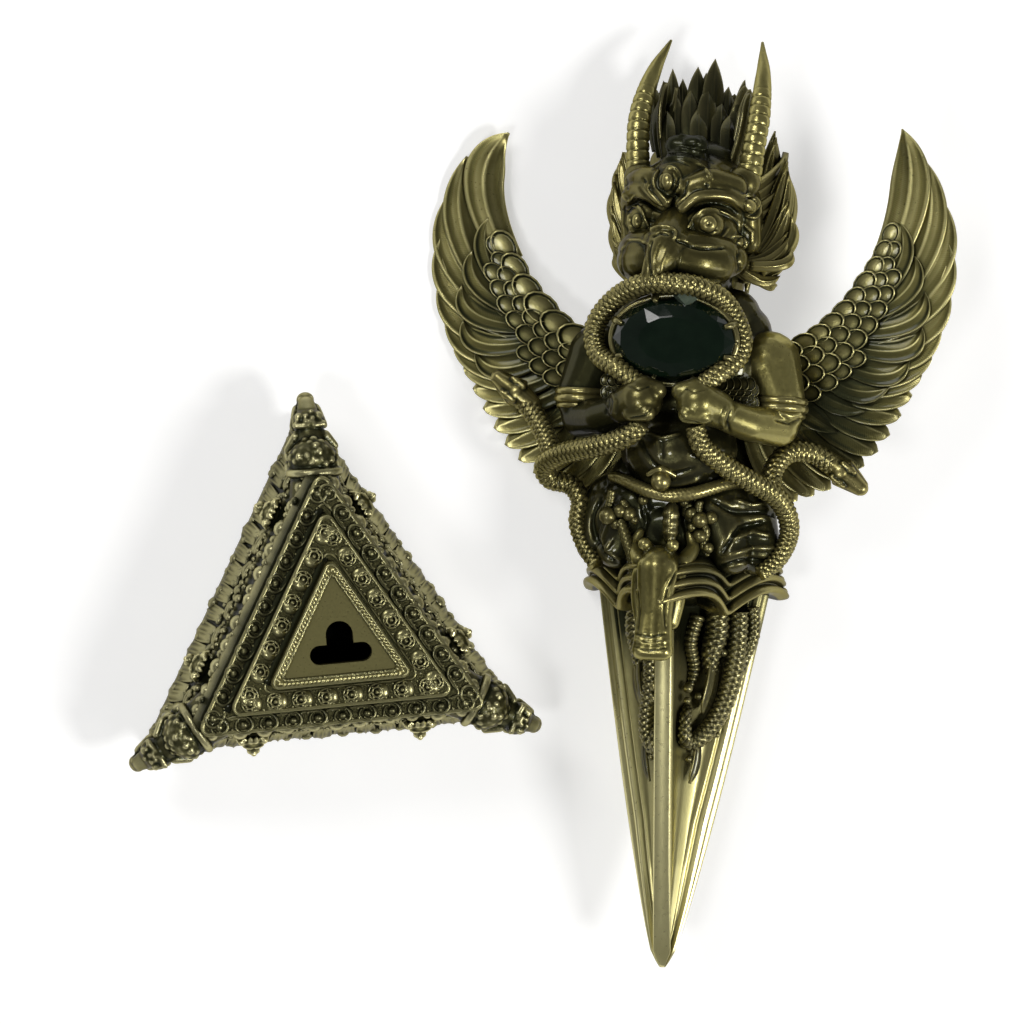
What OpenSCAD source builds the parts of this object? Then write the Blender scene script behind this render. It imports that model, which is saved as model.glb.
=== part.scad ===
// Three-edged ritual dagger with a winged bird-headed figure for its handle, and the three-sided stand
// it belongs to. Millimetres. The stand rests on z = 0 with the middle of its base at the origin. The
// dagger lies beside it on its back with the handle towards +y. The dagger is drawn upright, tip at its
// own origin and front towards -y, and is then laid down as one piece.

/* [Blade] */
// Length of the blade from its tip to the underside of the collar
blade_l = 82; // [64:1:102]
// Radius over one fin where the blade enters the collar
fin_r = 21; // [17:0.5:24]
// Width of the flat edge that runs along each fin
fin_edge_w = 4; // [3:0.2:5]
// Thickness of the sunk panel in each fin
fin_web_t = 2.4; // [1.8:0.1:3]
// Exponent of the fin outline, lower is fuller towards the tip
fin_fullness = 0.78; // [0.68:0.01:0.92]
// Diameter of the relief serpents in the three hollows of the blade
relief_d = 3.6; // [2.8:0.1:4.4]

/* [Collar] */
// Radius to the flared lip of the collar above a fin
lip_r = 27.25; // [25:0.25:29]
// Radius of the collar in the middle between two fins
collar_face_r = 15; // [14:0.25:17]
// Height of each of the three ridges stacked in the collar
ridge_h = 2.7; // [2.2:0.1:3.2]
// How far the makara snout stands out in front of the axis
snout_reach = 29; // [27:0.5:32]
// Width of the makara snout
snout_w = 9.6; // [8:0.2:11]

/* [Figure] */
// Height from the collar to the tips of the horns
figure_h = 129.5; // [112:1:148]
// Width over the upper arms
shoulder_w = 56; // [50:1:62]
// Depth from the back of the head to the front of the fists
figure_d = 50; // [46:1:54]
// Turn of the head to one side, degrees
head_turn = 10; // [0:1:14]
// Width of the large faceted chest stone
gem_w = 27.5; // [24:0.5:30]
// Height of the large faceted chest stone
gem_h = 19; // [17:0.5:21]

/* [Horns and crest] */
// Diameter of a horn at its root
horn_d = 5.4; // [4.6:0.2:6.6]
// Feathers in the back row of the crest
crest_n = 9; // [7:1:11]
// Width of a crest feather
crest_w = 5.2; // [4.4:0.2:6]

/* [Wings] */
// Span over the outermost feathers of both wings
wing_span = 117; // [106:1:128]
// Turn of the pair of wings about the figure's front axis, degrees
wing_tilt = 1.5; // [0:0.5:4]
// Long feathers in each wing
feather_n = 11; // [9:1:13]
// Width of a long feather
feather_w = 8; // [7:0.2:9]
// Thickness of a long feather
feather_t = 2; // [1.6:0.1:2.6]

/* [Serpents] */
// Diameter of the serpents that the figure bites and holds
serpent_d = 4.8; // [4.2:0.1:5.6]

/* [Stand] */
// Side of the triangle at the foot of the stand
foot_side = 88; // [80:1:96]
// Height of the stand
stand_h = 44; // [38:1:52]
// Side of the lower tier, which carries the drop-shaped ornament
tier_a_side = 66; // [62:0.5:69]
// Side of the upper tier, which carries the rosettes
tier_b_side = 51.6; // [48:0.2:55]
// Side of the flat top with the slot
top_side = 33; // [30:0.5:36]
// Height of each tier
tier_h = 3.6; // [3:0.1:4.4]
// Thickness of the stand's wall
wall_t = 3; // [2.4:0.1:4]
// Width of the slot across its two lower lobes
slot_w = 13.8; // [12.5:0.1:15]
// Height of the slot from the flat side to the top of the upper lobe
slot_h = 9.4; // [8.6:0.1:10.4]
// Distance from the stand's middle to the end of a corner head
head_reach = 53; // [50:0.5:57]

/* [Hidden] */
blade_turn = 120;
collar_z = blade_l;
hf = figure_h / 129.5;
wf = shoulder_w / 56;
df = figure_d / 50;
rf = (hf + wf + df) / 3;
wing_f = (wing_span / 2 - 14 * wf) / (58.5 - 14);
roll = 16;
lean = 3;
lie_x = 75.4;
lie_y = -78.4;
// Height of the dagger's axis: the lip, the left wing or the back of the mane touches the floor first
lip_low = (0.322 * collar_face_r + 0.678 * lip_r) * cos(45 - roll);
lie_z = max(lip_low + 0.01, (wing_span / 2) * sin(roll) + 5.17, 19.5 * df);
r3 = sqrt(3);

brass = [0.55, 0.5, 0.28];
dark_brass = [0.36, 0.34, 0.2];
pale_brass = [0.66, 0.6, 0.36];
stone = [0.05, 0.14, 0.09];

// Points and paths

// A point of the figure: x to the viewer's right, f towards the front, z up the dagger as drawn
function at(x, f, z) = [x * wf, -f * df, collar_z + (z - 80) * hf];
// A point of a wing, bowed towards the front at its outer edge
function wing_at(x, z, lift) =
  let (o = (x - 14) / 44.5)
  [14 * wf + (x - 14) * wing_f, 6.2 - 1.5 * o * o - lift, collar_z + (z - 80) * hf];
function unit(v) = v / max(norm(v), 0.000001);
function mix(a, b, t) = a + (b - a) * t;
function arc(a, c, b, t) = (1 - t) * (1 - t) * a + 2 * t * (1 - t) * c + t * t * b;
function span(p, q, r, s, t) =
  0.5 * (2 * q + (r - p) * t + (2 * p - 5 * q + 4 * r - s) * t * t + (3 * q - p - 3 * r + s) * t * t * t);
// A smooth line through the points p with s steps between two of them
function flow(p, s) =
  let (e = len(p) - 1)
  concat([for (i = [0:e - 1]) for (j = [0:s - 1])
    span(p[max(i - 1, 0)], p[i], p[i + 1], p[min(i + 2, e)], j / s)], [p[e]]);
function travel(p) = [for (i = [0:len(p) - 1]) unit(p[min(i + 1, len(p) - 1)] - p[max(i - 1, 0)])];
function carry(t, n, i = 0, out = []) =
  i == len(t) ? out : let (m = unit(n - (n * t[i]) * t[i])) carry(t, m, i + 1, concat(out, [m]));
function circle_pts(n) = [for (k = [0:n - 1]) [cos(360 * k / n), sin(360 * k / n)]];
// Cross-section of a feather: flat, thin at its sides and raised along the shaft
feather_sec = [[-1, 0], [0, -1], [1, 0], [0, 1]];

// Shapes

// A closed skin over a row of rings that all have the same number of points
module skin(rings) {
  m = len(rings);
  n = len(rings[0]);
  first = [for (k = [0:2]) let (s = [for (p = rings[0]) p[k]]) s * [for (p = s) 1] / n];
  last = [for (k = [0:2]) let (s = [for (p = rings[m - 1]) p[k]]) s * [for (p = s) 1] / n];
  pts = concat([for (r = rings) for (p = r) p], [first, last]);
  sides = [for (i = [0:m - 2]) for (k = [0:n - 1]) for (h = [0, 1])
    let (a = i * n + k, b = i * n + (k + 1) % n)
    h == 0 ? [a, a + n, b + n] : [a, b + n, b]];
  ends = [for (k = [0:n - 1]) for (h = [0, 1])
    h == 0 ? [m * n, k, (k + 1) % n] : [m * n + 1, (m - 1) * n + (k + 1) % n, (m - 1) * n + k]];
  polyhedron(pts, concat(sides, ends), convexity = 8);
}
// A bar of section sec along a path, w wide and h thick at each point of the path
module bar(path, w, h, sec, up = [0, 1, 0]) {
  t = travel(path);
  n = carry(t, up);
  skin([for (i = [0:len(path) - 1]) let (b = cross(n[i], t[i]))
    [for (s = sec) path[i] + s[0] * w[i] * b + s[1] * h[i] * n[i]]]);
}
// A round tube along a path, r0 thick at its start, r1 in the middle and r2 at its end
module tube(path, r0, r1, r2, sides = 5) {
  e = len(path) - 1;
  r = [for (i = [0:e]) let (t = i / e)
    t < 0.2 ? mix(r0, r1, t / 0.2) : t > 0.75 ? mix(r1, r2, (t - 0.75) / 0.25) : r1];
  bar(path, r, r, circle_pts(sides));
}
module ball(p, r) {
  hull() translate(p) sphere(r, $fn = 6);
}
module egg(p, r, n = 12) {
  hull() translate(p) scale(r) sphere(1, $fn = n);
}
module limb(a, ra, b, rb, n = 8) {
  hull() {
    translate(a) sphere(ra, $fn = n);
    translate(b) sphere(rb, $fn = n);
  }
}
// One feather or tuft: an arc from a over c to b, widest a little past its middle
module plume(a, c, b, w, t, up = [0, 1, 0], steps = 4) {
  path = [for (i = [0:steps]) arc(a, c, b, i / steps)];
  ww = [for (i = [0:steps]) let (u = i / steps)
    w / 2 * (u < 0.6 ? mix(0.62, 1, u / 0.6) : sqrt(max(1 - pow((u - 0.6) / 0.42, 2), 0.03)))];
  tt = [for (i = [0:steps]) let (u = i / steps) t / 2 * mix(1, 0.55, u)];
  bar(path, ww, tt, feather_sec, up);
}
module lay_down() {
  translate([lie_x, lie_y, lie_z]) rotate([0, 0, -lean]) rotate([0, -roll, 0]) rotate([-90, 0, 0]) children();
}

// Blade

function fin_at(z) = fin_r * pow((z + 0.7) / blade_l, fin_fullness);
// One ring of the blade at height z: three fins with a flat edge, a raised rim and a sunk panel
function blade_ring(z) =
  let (r = fin_at(z), k = min(1, r / 8), e = k * fin_edge_w / 2, w = k * fin_web_t / 2,
    rim = k * min(3.2, 0.3 * r / k), root = k * max(1.155 * w / k, 0.16 * r / k + 0.6))
  [for (f = [0:2]) let (a = -90 + f * blade_turn)
    for (p = [[root * cos(60), -root * sin(60)], [r - rim - 0.8 * k, -w], [r - rim, -e],
      [r - 0.4 * k, -e], [r, -e + 0.4 * k], [r, e - 0.4 * k], [r - 0.4 * k, e], [r - rim, e],
      [r - rim - 0.8 * k, w]])
    [p[0] * cos(a) - p[1] * sin(a), p[0] * sin(a) + p[1] * cos(a), z]];
// The blade ends in a tang that narrows to a third of the fins and reaches up into the figure
module blade_form() {
  top = collar_z + 6.5;
  tang = 7.5 * hf;
  skin(concat([for (z = [0, 0.012, 0.04, 0.1, 0.2, 0.34, 0.5, 0.68, 0.85, 1]) blade_ring(z * top)],
    [for (q = [[0.36, 3.5], [0.3, tang]]) [for (p = blade_ring(top)) [p[0] * q[0], p[1] * q[0], top + q[1]]]]));
}
module blade() {
  color(pale_brass) lay_down() blade_form();
}

// A serpent hanging in the hollow between two fins, drawn for one hollow
module relief_form() {
  k = blade_l / 80;
  line = [[1.6, 79], [-2.8, 73.5], [-3.2, 67.5], [0.4, 61.5], [3, 56.5], [1.4, 51], [-1.2, 47], [-1.4, 43]];
  for (f = [0:2]) rotate(-30 + f * blade_turn) {
    seat = 0.9 * relief_d / 3.6 + fin_web_t / 2 / sin(60);
    path = [for (p = line) let (r = fin_at(p[1] * k), u = p[0] * r / fin_r)
      [seat + abs(u) / tan(60) + 0.1 * r, u, p[1] * k]];
    tube(path, relief_d * 0.4, relief_d / 2, relief_d * 0.3, 5);
    limb(path[6] + [0.3, 0, 0.6], relief_d * 0.42, path[7] + [0.2, 0, -1.2], relief_d * 0.5, 6);
  }
}
module blade_serpents() {
  color(dark_brass) lay_down() difference() {
    relief_form();
    blade_form();
    makara_form();
  }
}

// Collar with the makara snout

// One ring of the collar: k ridges up, out as a share of the full radius
function collar_ring(k, inset, up) = [for (i = [0:23])
  let (a = i * 15, d = abs((a + 150) % 120 - 60) / 60,
    lip = pow(1 - d, 1.35),
    r = mix(collar_face_r, lip_r - 0.9 * k, lip) - inset,
    wave = 5.2 * pow(max(sin(180 * (1 - d) * 0.78), 0), 1.2) * (d < 0.95 ? 1 : 0.6) - 0.4,
    flat = mix(wave, 3.4, min(k, 3) * 0.12))
  [r * cos(a), r * sin(a), collar_z + flat + up + k * ridge_h]];
module collar_form() {
  skin(concat([collar_ring(0, 3, 0)],
    [for (k = [0:2]) for (q = [[0, 0.15], [1.5, 0.85]]) collar_ring(k, q[0], q[1] * ridge_h)],
    [[for (i = [0:23]) [13 * cos(i * 15), 12 * sin(i * 15), collar_z + 3.2 * ridge_h + 5]]]));
}
module snout_form() {
  h = snout_w / 2;
  f = snout_reach / df;
  limb(at(0, 12, 90), h, at(0, f - 7, 91.4), h * 0.9);
  hull() {
    translate(at(-h * 0.35, f - 5.6, 91)) sphere(h * 0.62, $fn = 8);
    translate(at(h * 0.35, f - 5.6, 91)) sphere(h * 0.62, $fn = 8);
    translate(at(-h * 0.24, f - 4.6, 81)) sphere(h * 0.58, $fn = 6);
    translate(at(h * 0.24, f - 4.6, 81)) sphere(h * 0.58, $fn = 6);
  }
  hull() {
    translate(at(-h * 0.24, f - 4.6, 81)) sphere(h * 0.56, $fn = 6);
    translate(at(h * 0.24, f - 4.6, 81)) sphere(h * 0.56, $fn = 6);
    translate(at(-h * 0.42, f - 2.6, 73)) sphere(h * 0.48, $fn = 6);
    translate(at(h * 0.42, f - 2.6, 73)) sphere(h * 0.48, $fn = 6);
  }
  limb(at(0, 15, 82), h * 0.8, at(0, f - 7, 75), h * 0.62, 6);
  for (s = [-1, 1]) {
    limb(at(s * h * 0.8, f - 9, 88.5), h * 0.5, at(s * h * 0.8, f - 8.5, 83.5), h * 0.42, 6);
    ball(at(s * h * 0.62, f - 6.5, 95), h * 0.32);
  }
}
module makara_form() {
  collar_form();
  translate([-1.5 * wf, 0, 0]) snout_form();
}
module makara_collar() {
  color(brass) lay_down() difference() {
    makara_form();
    blade_form();
  }
}

// Trunk and arms of the figure

module lower_form() {
  egg(at(0, 0, 98.5), [19.6 * wf, 15 * df, 11.5 * hf]);
  limb(at(-7, 3, 107), 10.5 * rf, at(7, 3, 107), 10.5 * rf);
  limb(at(0, 0, 96.5), 12 * rf, at(0, 0, 99), 14 * rf);
  for (s = [-1, 1]) {
    limb(at(s * 9, 8, 104), 6.4 * rf, at(s * 13, 9, 94), 5.2 * rf);
    limb(at(s * 15, 3, 104), 6.5 * rf, at(s * 17, 4, 95), 6 * rf);
  }
}
module lower_body() {
  color(dark_brass) lay_down() difference() {
    lower_form();
    blade_form();
    makara_form();
  }
}
module torso_form() {
  egg(at(0, 8, 117), [13.4 * wf, 14.5 * df, 10.6 * hf]);
  limb(at(0, 2, 112), 12 * rf, at(0, 4, 128), 12.5 * rf);
  limb(at(-8.5, 5, 136.5), 11 * rf, at(8.5, 5, 136.5), 11 * rf);
  limb(at(0, 3, 147), 9.5 * rf, at(0, 4, 159), 10 * rf);
  egg(at(0, 15.5, 141.5), [15.6 * wf, 8.4 * df, 11.4 * hf]);
  limb(at(-16, 3, 138.5), 6.5 * rf, at(16, 3, 138.5), 6.5 * rf);
}
module torso() {
  color(dark_brass) lay_down() difference() {
    torso_form();
    lower_form();
    gem_form();
  }
}
module arm_form(s) {
  limb(at(s * 19.2, 6, 137), 7.4 * rf, at(s * 22.4, 8, 129.5), 5.7 * rf);
  limb(at(s * 22.4, 8, 127.4), 5.6 * rf, at(s * 22.6, 8.2, 126.4), 5.6 * rf);
  limb(at(s * 22.4, 8.6, 123), 5.2 * rf, at(s * 16.5, 17, 123.6), 4.6 * rf);
  limb(at(s * 16.5, 17, 123.6), 4.6 * rf, at(s * 10.4, 23, 126), 3.6 * rf);
  limb(at(s * 9, 24.5, 127), 4.6 * rf, at(s * 6.2, 26, 128.2), 5.3 * rf);
  limb(at(s * 7.2, 26.6, 132.2), 2.4 * rf, at(s * 2.8, 27.4, 131.4), 2 * rf, 6);
}
module arm(s) {
  color(brass) lay_down() difference() {
    arm_form(s);
    torso_form();
    lower_form();
    gem_form();
    if (s > 0) arm_form(-1);
  }
}
module left_arm() {
  arm(-1);
}
module right_arm() {
  arm(1);
}

// Head

module faced() {
  translate([1.1 * wf, 0, 0]) rotate(-head_turn) children();
}
module skull_form() {
  egg(at(0, 2, 170), [15.2 * wf, 15.4 * df, 14.4 * hf]);
  egg(at(0, 8.5, 164.5), [13.4 * wf, 11.6 * df, 10.6 * hf], 9);
  limb(at(0, 12, 178), 6.2 * rf, at(0, 9, 182), 5 * rf);
  limb(at(0, -6, 168), 11.5 * rf, at(0, -5, 156), 10 * rf);
  ball(at(-1.2, 17.6, 177.6), 2.3 * rf);
  for (s = [-1, 1]) {
    limb(at(s * 2.6, 18.8, 171.6), 2.2 * rf, at(s * 8.4, 17, 174.6), 2.7 * rf, 6);
    limb(at(s * 8.4, 17, 174.6), 2.7 * rf, at(s * 14, 10.5, 173), 2 * rf, 6);
    ball(at(s * 7.6, 16.8, 168), 3.5 * rf);
    ball(at(s * 12, 6, 177.6), 4.9 * rf);
  }
}
module head() {
  color(brass) lay_down() difference() {
    faced() skull_form();
    torso_form();
  }
}
module beak_form() {
  limb(at(0, 17, 166), 4.6 * rf, at(0, 24.5, 160.5), 4.2 * rf);
  limb(at(0, 24.5, 160.5), 4.2 * rf, at(-2.2, 28.2, 154.6), 1.5 * rf);
  limb(at(0, 14, 154), 5 * rf, at(-0.6, 22, 156), 3.8 * rf, 7);
  for (s = [-1, 1]) {
    limb(at(s * 1.5, 22, 160), 3.8 * rf, at(s * 9.5, 15.5, 158.6), 3.8 * rf);
    ball(at(s * 3.2, 23.4, 163.6), 2 * rf);
  }
}
module beak() {
  color(brass) lay_down() difference() {
    faced() beak_form();
    faced() skull_form();
    torso_form();
  }
}
horn_line = [[12.9, 4.8, 178], [13.7, 4.4, 184.5], [14.1, 2.2, 192.5], [13.1, -2.6, 201.5], [10.9, -8, 209.5]];
module horn_form(s) {
  path = flow([for (p = horn_line) at(s * p[0], p[1], p[2])], 4);
  e = len(path) - 1;
  r = [for (i = [0:e]) let (t = i / e, groove = i % 2 == 1 && t < 0.75 ? 0.88 : 1)
    horn_d / 2 * groove * (t < 0.6 ? mix(1, 0.86, t / 0.6) : mix(0.86, 0.16, pow((t - 0.6) / 0.4, 1.2)))];
  bar(path, r, r, circle_pts(8));
}
module horn(s) {
  color(pale_brass) lay_down() difference() {
    faced() horn_form(s);
    faced() skull_form();
  }
}
module left_horn() {
  horn(-1);
}
module right_horn() {
  horn(1);
}
module crest_form() {
  egg(at(0, 3, 183), [11.2 * wf, 8.6 * df, 5.4 * hf], 8);
  for (i = [0:crest_n - 1]) {
    a = mix(-78, 78, i / (crest_n - 1));
    top = 205 - 6.4 * pow(abs(a) / 78, 1.2) - (i + 2) % 3 * 1.5;
    plume(at(8 * sin(a), 3 - 7 * cos(a), 180), at(12.4 * sin(a), 2 - 12 * cos(a), 191),
      at(11 * sin(a), 1 - 13 * cos(a), top), crest_w * wf, 2.6 * df, [sin(a), cos(a), 0], 3);
  }
  for (i = [0:2]) {
    a = mix(-46, 46, i / 2);
    plume(at(8 * sin(a), 7 - 3 * cos(a), 180), at(9.6 * sin(a), 6 - 4 * cos(a), 189),
      at(9.4 * sin(a), 4 - 6 * cos(a), 196 - (i % 2) * 2.5),
      crest_w * 0.9 * wf, 2.4 * df, [sin(a), cos(a), 0], 3);
  }
}
module crest() {
  color(dark_brass) lay_down() difference() {
    faced() crest_form();
    faced() skull_form();
    faced() horn_form(-1);
    faced() horn_form(1);
  }
}
module mane_form() {
  for (s = [-1, 1]) {
    out = s > 0 ? [20.4, -0.4, 22.4, -1.6] : [16.5, 1, 18.6, 1.5];
    for (j = [0:3]) {
      plume(at(s * 10.5, 8 - 4.6 * j, 157 + 4.6 * j), at(s * (out[0] + out[1] * j), 5 - 5 * j, 155.6 + 6.2 * j),
        at(s * (out[2] + out[3] * j), 1 - 4 * j, 163 + 7 * j), 9.4 * rf, 4.2 * rf, [s, 0.55, 0], 3);
    }
  }
  for (j = [-1:1]) {
    plume(at(j * 5, -8, 174), at(j * 9, -22.5 + 2.8 * abs(j), 168),
      at(j * 9.6, -16 + 2 * abs(j), 151.4), 8.4 * rf, 3.8 * rf, [j * 0.3, 1, 0], 3);
  }
}
module mane() {
  color(brass) lay_down() difference() {
    faced() mane_form();
    faced() skull_form();
    faced() beak_form();
    faced() horn_form(-1);
    faced() horn_form(1);
    faced() crest_form();
    torso_form();
  }
}

// Wings

wing_tips = [[45.8, 189], [52.3, 182.8], [56.6, 174.4], [58.2, 165], [58.5, 155.4], [56.8, 145.4], [53.4, 135.8],
  [48.6, 125.8], [42.6, 116.2], [34.4, 109], [24.6, 105]];
wing_arm = [[11, 133], [22, 133.6], [31, 138.8], [38, 145.6], [42.9, 153.6], [46.6, 162.8], [48.6, 171.5],
  [49, 178.5]];
arm_w = [8.5, 7.2, 6.5, 6, 5, 3.7, 2.6, 1.4];
function tip_at(t) = let (e = len(wing_tips) - 1, u = t * e, i = min(floor(u), e - 1))
  span(wing_tips[max(i - 1, 0)], wing_tips[i], wing_tips[i + 1], wing_tips[min(i + 2, e)], u - i);
module wing_form() {
  for (i = [0:feather_n - 1]) {
    t = i / (feather_n - 1);
    a = arc([45.7, 159.5], [42, 141], [17, 132], t);
    b = tip_at(t);
    g = mix(118, -32, t);
    c = b - mix(0.51, 0.46, t) * norm(b - a) * [cos(g), sin(g)];
    k = i % 2 * 0.35;
    plume(wing_at(a[0], a[1], k), wing_at(c[0], c[1], k), wing_at(b[0], b[1], k), feather_w, feather_t);
  }
  for (i = [0:3]) {
    t = i / 3;
    a = arc([42, 160], [39, 143], [16, 134], t);
    b = mix(a, tip_at(0.12 + 0.82 * t), 0.56);
    c = mix(a, b, 0.5) + 2.2 * [sin(120 * t - 30), -cos(120 * t - 30)];
    plume(wing_at(a[0], a[1], 1.1), wing_at(c[0], c[1], 1.3), wing_at(b[0], b[1], 0.9),
      feather_w * 0.86, feather_t, steps = 3);
  }
  k = feather_w / 8;
  bar([for (p = wing_arm) wing_at(p[0], p[1], 0.7)], arm_w * k, [for (w = arm_w) 0.55 * feather_t + 0.28 * w * k],
    feather_sec);
}
module wing_side(s) {
  p = at(0, 0, 140);
  translate(p) rotate([0, -wing_tilt, 0]) translate(-p) scale([s, 1, 1]) wing_form();
}
module wing(s) {
  color(brass) lay_down() difference() {
    wing_side(s);
    torso_form();
    lower_form();
    arm_form(s);
  }
}
module left_wing() {
  wing(-1);
}
module right_wing() {
  wing(1);
}

// Serpents and stones

module gem_form() {
  oval = [for (k = [0:15]) [gem_w / 2 * cos(k * 22.5 + 11.25), gem_h / 2 * sin(k * 22.5 + 11.25)]];
  f0 = 20;
  skin([for (q = [[0.8, f0], [1, f0 + 3.2], [0.97, f0 + 4], [0.62, f0 + 7.2]])
    [for (p = oval) at(0, q[1], 141.6) + [p[0] * q[0], 0, p[1] * q[0]]]]);
}
module chest_gem() {
  color(stone) lay_down() gem_form();
}
module throat_gem_form() {
  p = at(2.6, 24.4, 151.4);
  hull() {
    translate(p) rotate([0, 45, 0]) cube([4, 4, 4], center = true);
    translate(p - [0, 1.6, 0]) rotate([0, 45, 0]) cube([2.4, 3, 2.4], center = true);
  }
}
module throat_gem() {
  color(stone) lay_down() difference() {
    throat_gem_form();
    faced() beak_form();
    torso_form();
    gem_form();
  }
}
// The snout, brow and eyes of a serpent whose head points along d from p
module serpent_head(p, d, up, r) {
  e = unit(d);
  n = unit(up - (up * e) * e);
  b = cross(n, e);
  limb(p - 1.6 * r * e, r * 0.9, p, r * 1.35);
  hull() {
    translate(p) sphere(r * 1.3, $fn = 8);
    translate(p + 2 * r * e) sphere(r * 0.8, $fn = 8);
  }
  for (s = [-1, 1]) ball(p + 0.5 * r * e + 0.8 * r * (n + s * b), r * 0.45);
}
module ring_form() {
  line = [[-7, 26.5, 131.6], [-12, 25, 134.8], [-17.4, 20.4, 138], [-18.4, 18.8, 144],
    [-13.8, 21.4, 150.2], [-7, 25.6, 153.8], [0, 27, 154.2], [6, 25.4, 153.4], [11, 21.6, 150.2],
    [14.6, 19.6, 143.2], [14.2, 21, 138.4], [10.8, 25, 134.8], [7, 26.5, 131.8]];
  tube(flow([for (p = line) at(p[0], p[1], p[2])], 2), serpent_d * 0.42, serpent_d / 2, serpent_d * 0.42);
}
module beak_serpent() {
  color(brass) lay_down() difference() {
    ring_form();
    faced() beak_form();
    faced() skull_form();
    faced() mane_form();
    torso_form();
    gem_form();
    throat_gem_form();
    arm_form(-1);
    arm_form(1);
  }
}
module left_snake_form() {
  r = serpent_d / 2;
  coil = [[-6, 26, 123], [-9.5, 25, 119.6], [-17, 21, 117], [-25, 15, 115], [-30.2, 9.5, 112],
    [-29.6, 5.5, 108.6], [-25, 4.5, 107.4], [-22.4, 5.6, 104], [-22.6, 6.4, 99], [-20.6, 8, 94],
    [-17.4, 10.5, 90]];
  neck = [[-28, 11, 113], [-30, 7.5, 117], [-33.4, 4, 122], [-37, 2, 126]];
  tube(flow([for (p = coil) at(p[0], p[1], p[2])], 2), r * 0.85, r, r * 0.7);
  tube(flow([for (p = neck) at(p[0], p[1], p[2])], 2), r, r, r * 0.95);
  serpent_head(at(-38.6, 1.8, 127.6), [-0.86, -0.1, 0.6], [0.1, -1, 0.1], r * 1.05);
}
module right_snake_form() {
  r = serpent_d / 2;
  coil = [[6, 26, 123], [7.4, 25, 118.6], [12, 22, 114.4], [17.4, 18, 111], [22.6, 12.5, 107.6], [25.2, 8, 103],
    [25.4, 6, 98], [23.4, 7.4, 93], [19.8, 10, 89.6]];
  neck = [[22, 10, 108], [21.4, 8, 112.6], [24.4, 4.5, 117], [29.6, 1.5, 117], [34, 0, 114.4]];
  tube(flow([for (p = coil) at(p[0], p[1], p[2])], 2), r * 0.85, r, r * 0.7);
  tube(flow([for (p = neck) at(p[0], p[1], p[2])], 2), r, r, r * 0.95);
  serpent_head(at(36, -0.4, 113), [0.8, 0, -0.6], [0, -1, 0], r * 1.05);
}
module held_serpent(s) {
  color(brass) lay_down() difference() {
    if (s < 0) left_snake_form(); else right_snake_form();
    torso_form();
    lower_form();
    makara_form();
    arm_form(s);
    wing_side(s);
    ring_form();
  }
}
module left_serpent() {
  held_serpent(-1);
}
module right_serpent() {
  held_serpent(1);
}

// Belt and pendant

module belt_form() {
  n = 6;
  line = [for (i = [0:n]) let (a = mix(-66, 66, i / n))
    at(15.6 * sin(a), 3 + 15.4 * cos(a), 108.4 - 1.6 * cos(3 * a))];
  tube(line, 1.3 * rf, 1.4 * rf, 1.3 * rf, 4);
  ball(line[n / 2], 2.6 * rf);
  for (s = [-1, 1]) {
    limb(at(s * 9, 13.6, 106), 1.5 * rf, at(s * 9.4, 15, 97), 1.3 * rf, 5);
    limb(at(s * 7.4, 15.4, 102.4), 2 * rf, at(s * 10.8, 15, 102.4), 2 * rf, 5);
  }
}
module belt_beads() {
  color(pale_brass) lay_down() difference() {
    belt_form();
    torso_form();
    lower_form();
    makara_form();
    left_snake_form();
    right_snake_form();
  }
}
module pendant_form() {
  hull() {
    translate(at(0, 15.6, 104)) cube([3.2, 3, 4], center = true);
    translate(at(0, 16, 97.5)) cube([2.6, 3.4, 3], center = true);
    translate(at(0, 16, 95.4)) cube([1.2, 2.6, 1], center = true);
  }
}
module pendant() {
  color(dark_brass) lay_down() difference() {
    pendant_form();
    belt_form();
    torso_form();
    lower_form();
    makara_form();
  }
}

// Stand

// A ring in the shape of a triangle with rounded corners: inradius m, corner radius c, at height z
function tri_ring(m, c, z) = [for (s = [0:2]) for (i = [0:3])
  let (q = 90 + s * 120, a = q - 60 + i * 40, d = 2 * (m - c))
  [d * cos(q) + c * cos(a), d * sin(q) + c * sin(a), z]];
function inradius(side) = side / (2 * r3);
body_h = stand_h - 3 * tier_h;
module turned() {
  rotate(4.3) children();
}
// The tiers sit a little off the middle of the foot
module on_tiers() {
  turned() translate([0.8, -0.2, 0]) children();
}
// Share of the height, share of the way from foot to tier, as the moulded wall narrows upwards
stand_wall = [[0, 0], [0.07, 0], [0.1, 0.1], [0.14, 0.06], [0.2, 0.28], [0.35, 0.52], [0.5, 0.66],
  [0.54, 0.58], [0.6, 0.6], [0.64, 0.74], [0.8, 0.86], [0.86, 0.8], [0.93, 0.84], [0.96, 1.04], [1, 1.04]];
m0 = inradius(foot_side);
m1 = inradius(tier_a_side);
module stand_outer() {
  skin([for (w = stand_wall) tri_ring(mix(m0, m1, w[1]), 2.5, body_h * w[0])]);
}
module stand_shape() {
  hollow = [[1, 1], [0.6, 0.8], [0.3, 0.5], [0.08, 0.1]];
  skin(concat([for (w = stand_wall) tri_ring(mix(m0, m1, w[1]), 2.5, body_h * w[0])],
    [for (w = hollow) tri_ring(mix(m0, m1, w[1]) - wall_t - 3.2 * w[0], 1.2, w[0] * body_h)]));
}
module stand_body() {
  color(dark_brass) turned() stand_shape();
}
module tri_plate(side, c, z, h) {
  translate([0, 0, z]) linear_extrude(h) polygon([for (p = tri_ring(inradius(side), c, 0)) [p[0], p[1]]]);
}
well_side = top_side - 6;
module stand_tier(side, z) {
  difference() {
    union() {
      tri_plate(side, 1.6, z, tier_h * 0.7);
      tri_plate(side - 1.6, 1.6, z, tier_h);
    }
    tri_plate(well_side, 1, z - 1, tier_h + 2);
  }
}
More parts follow.
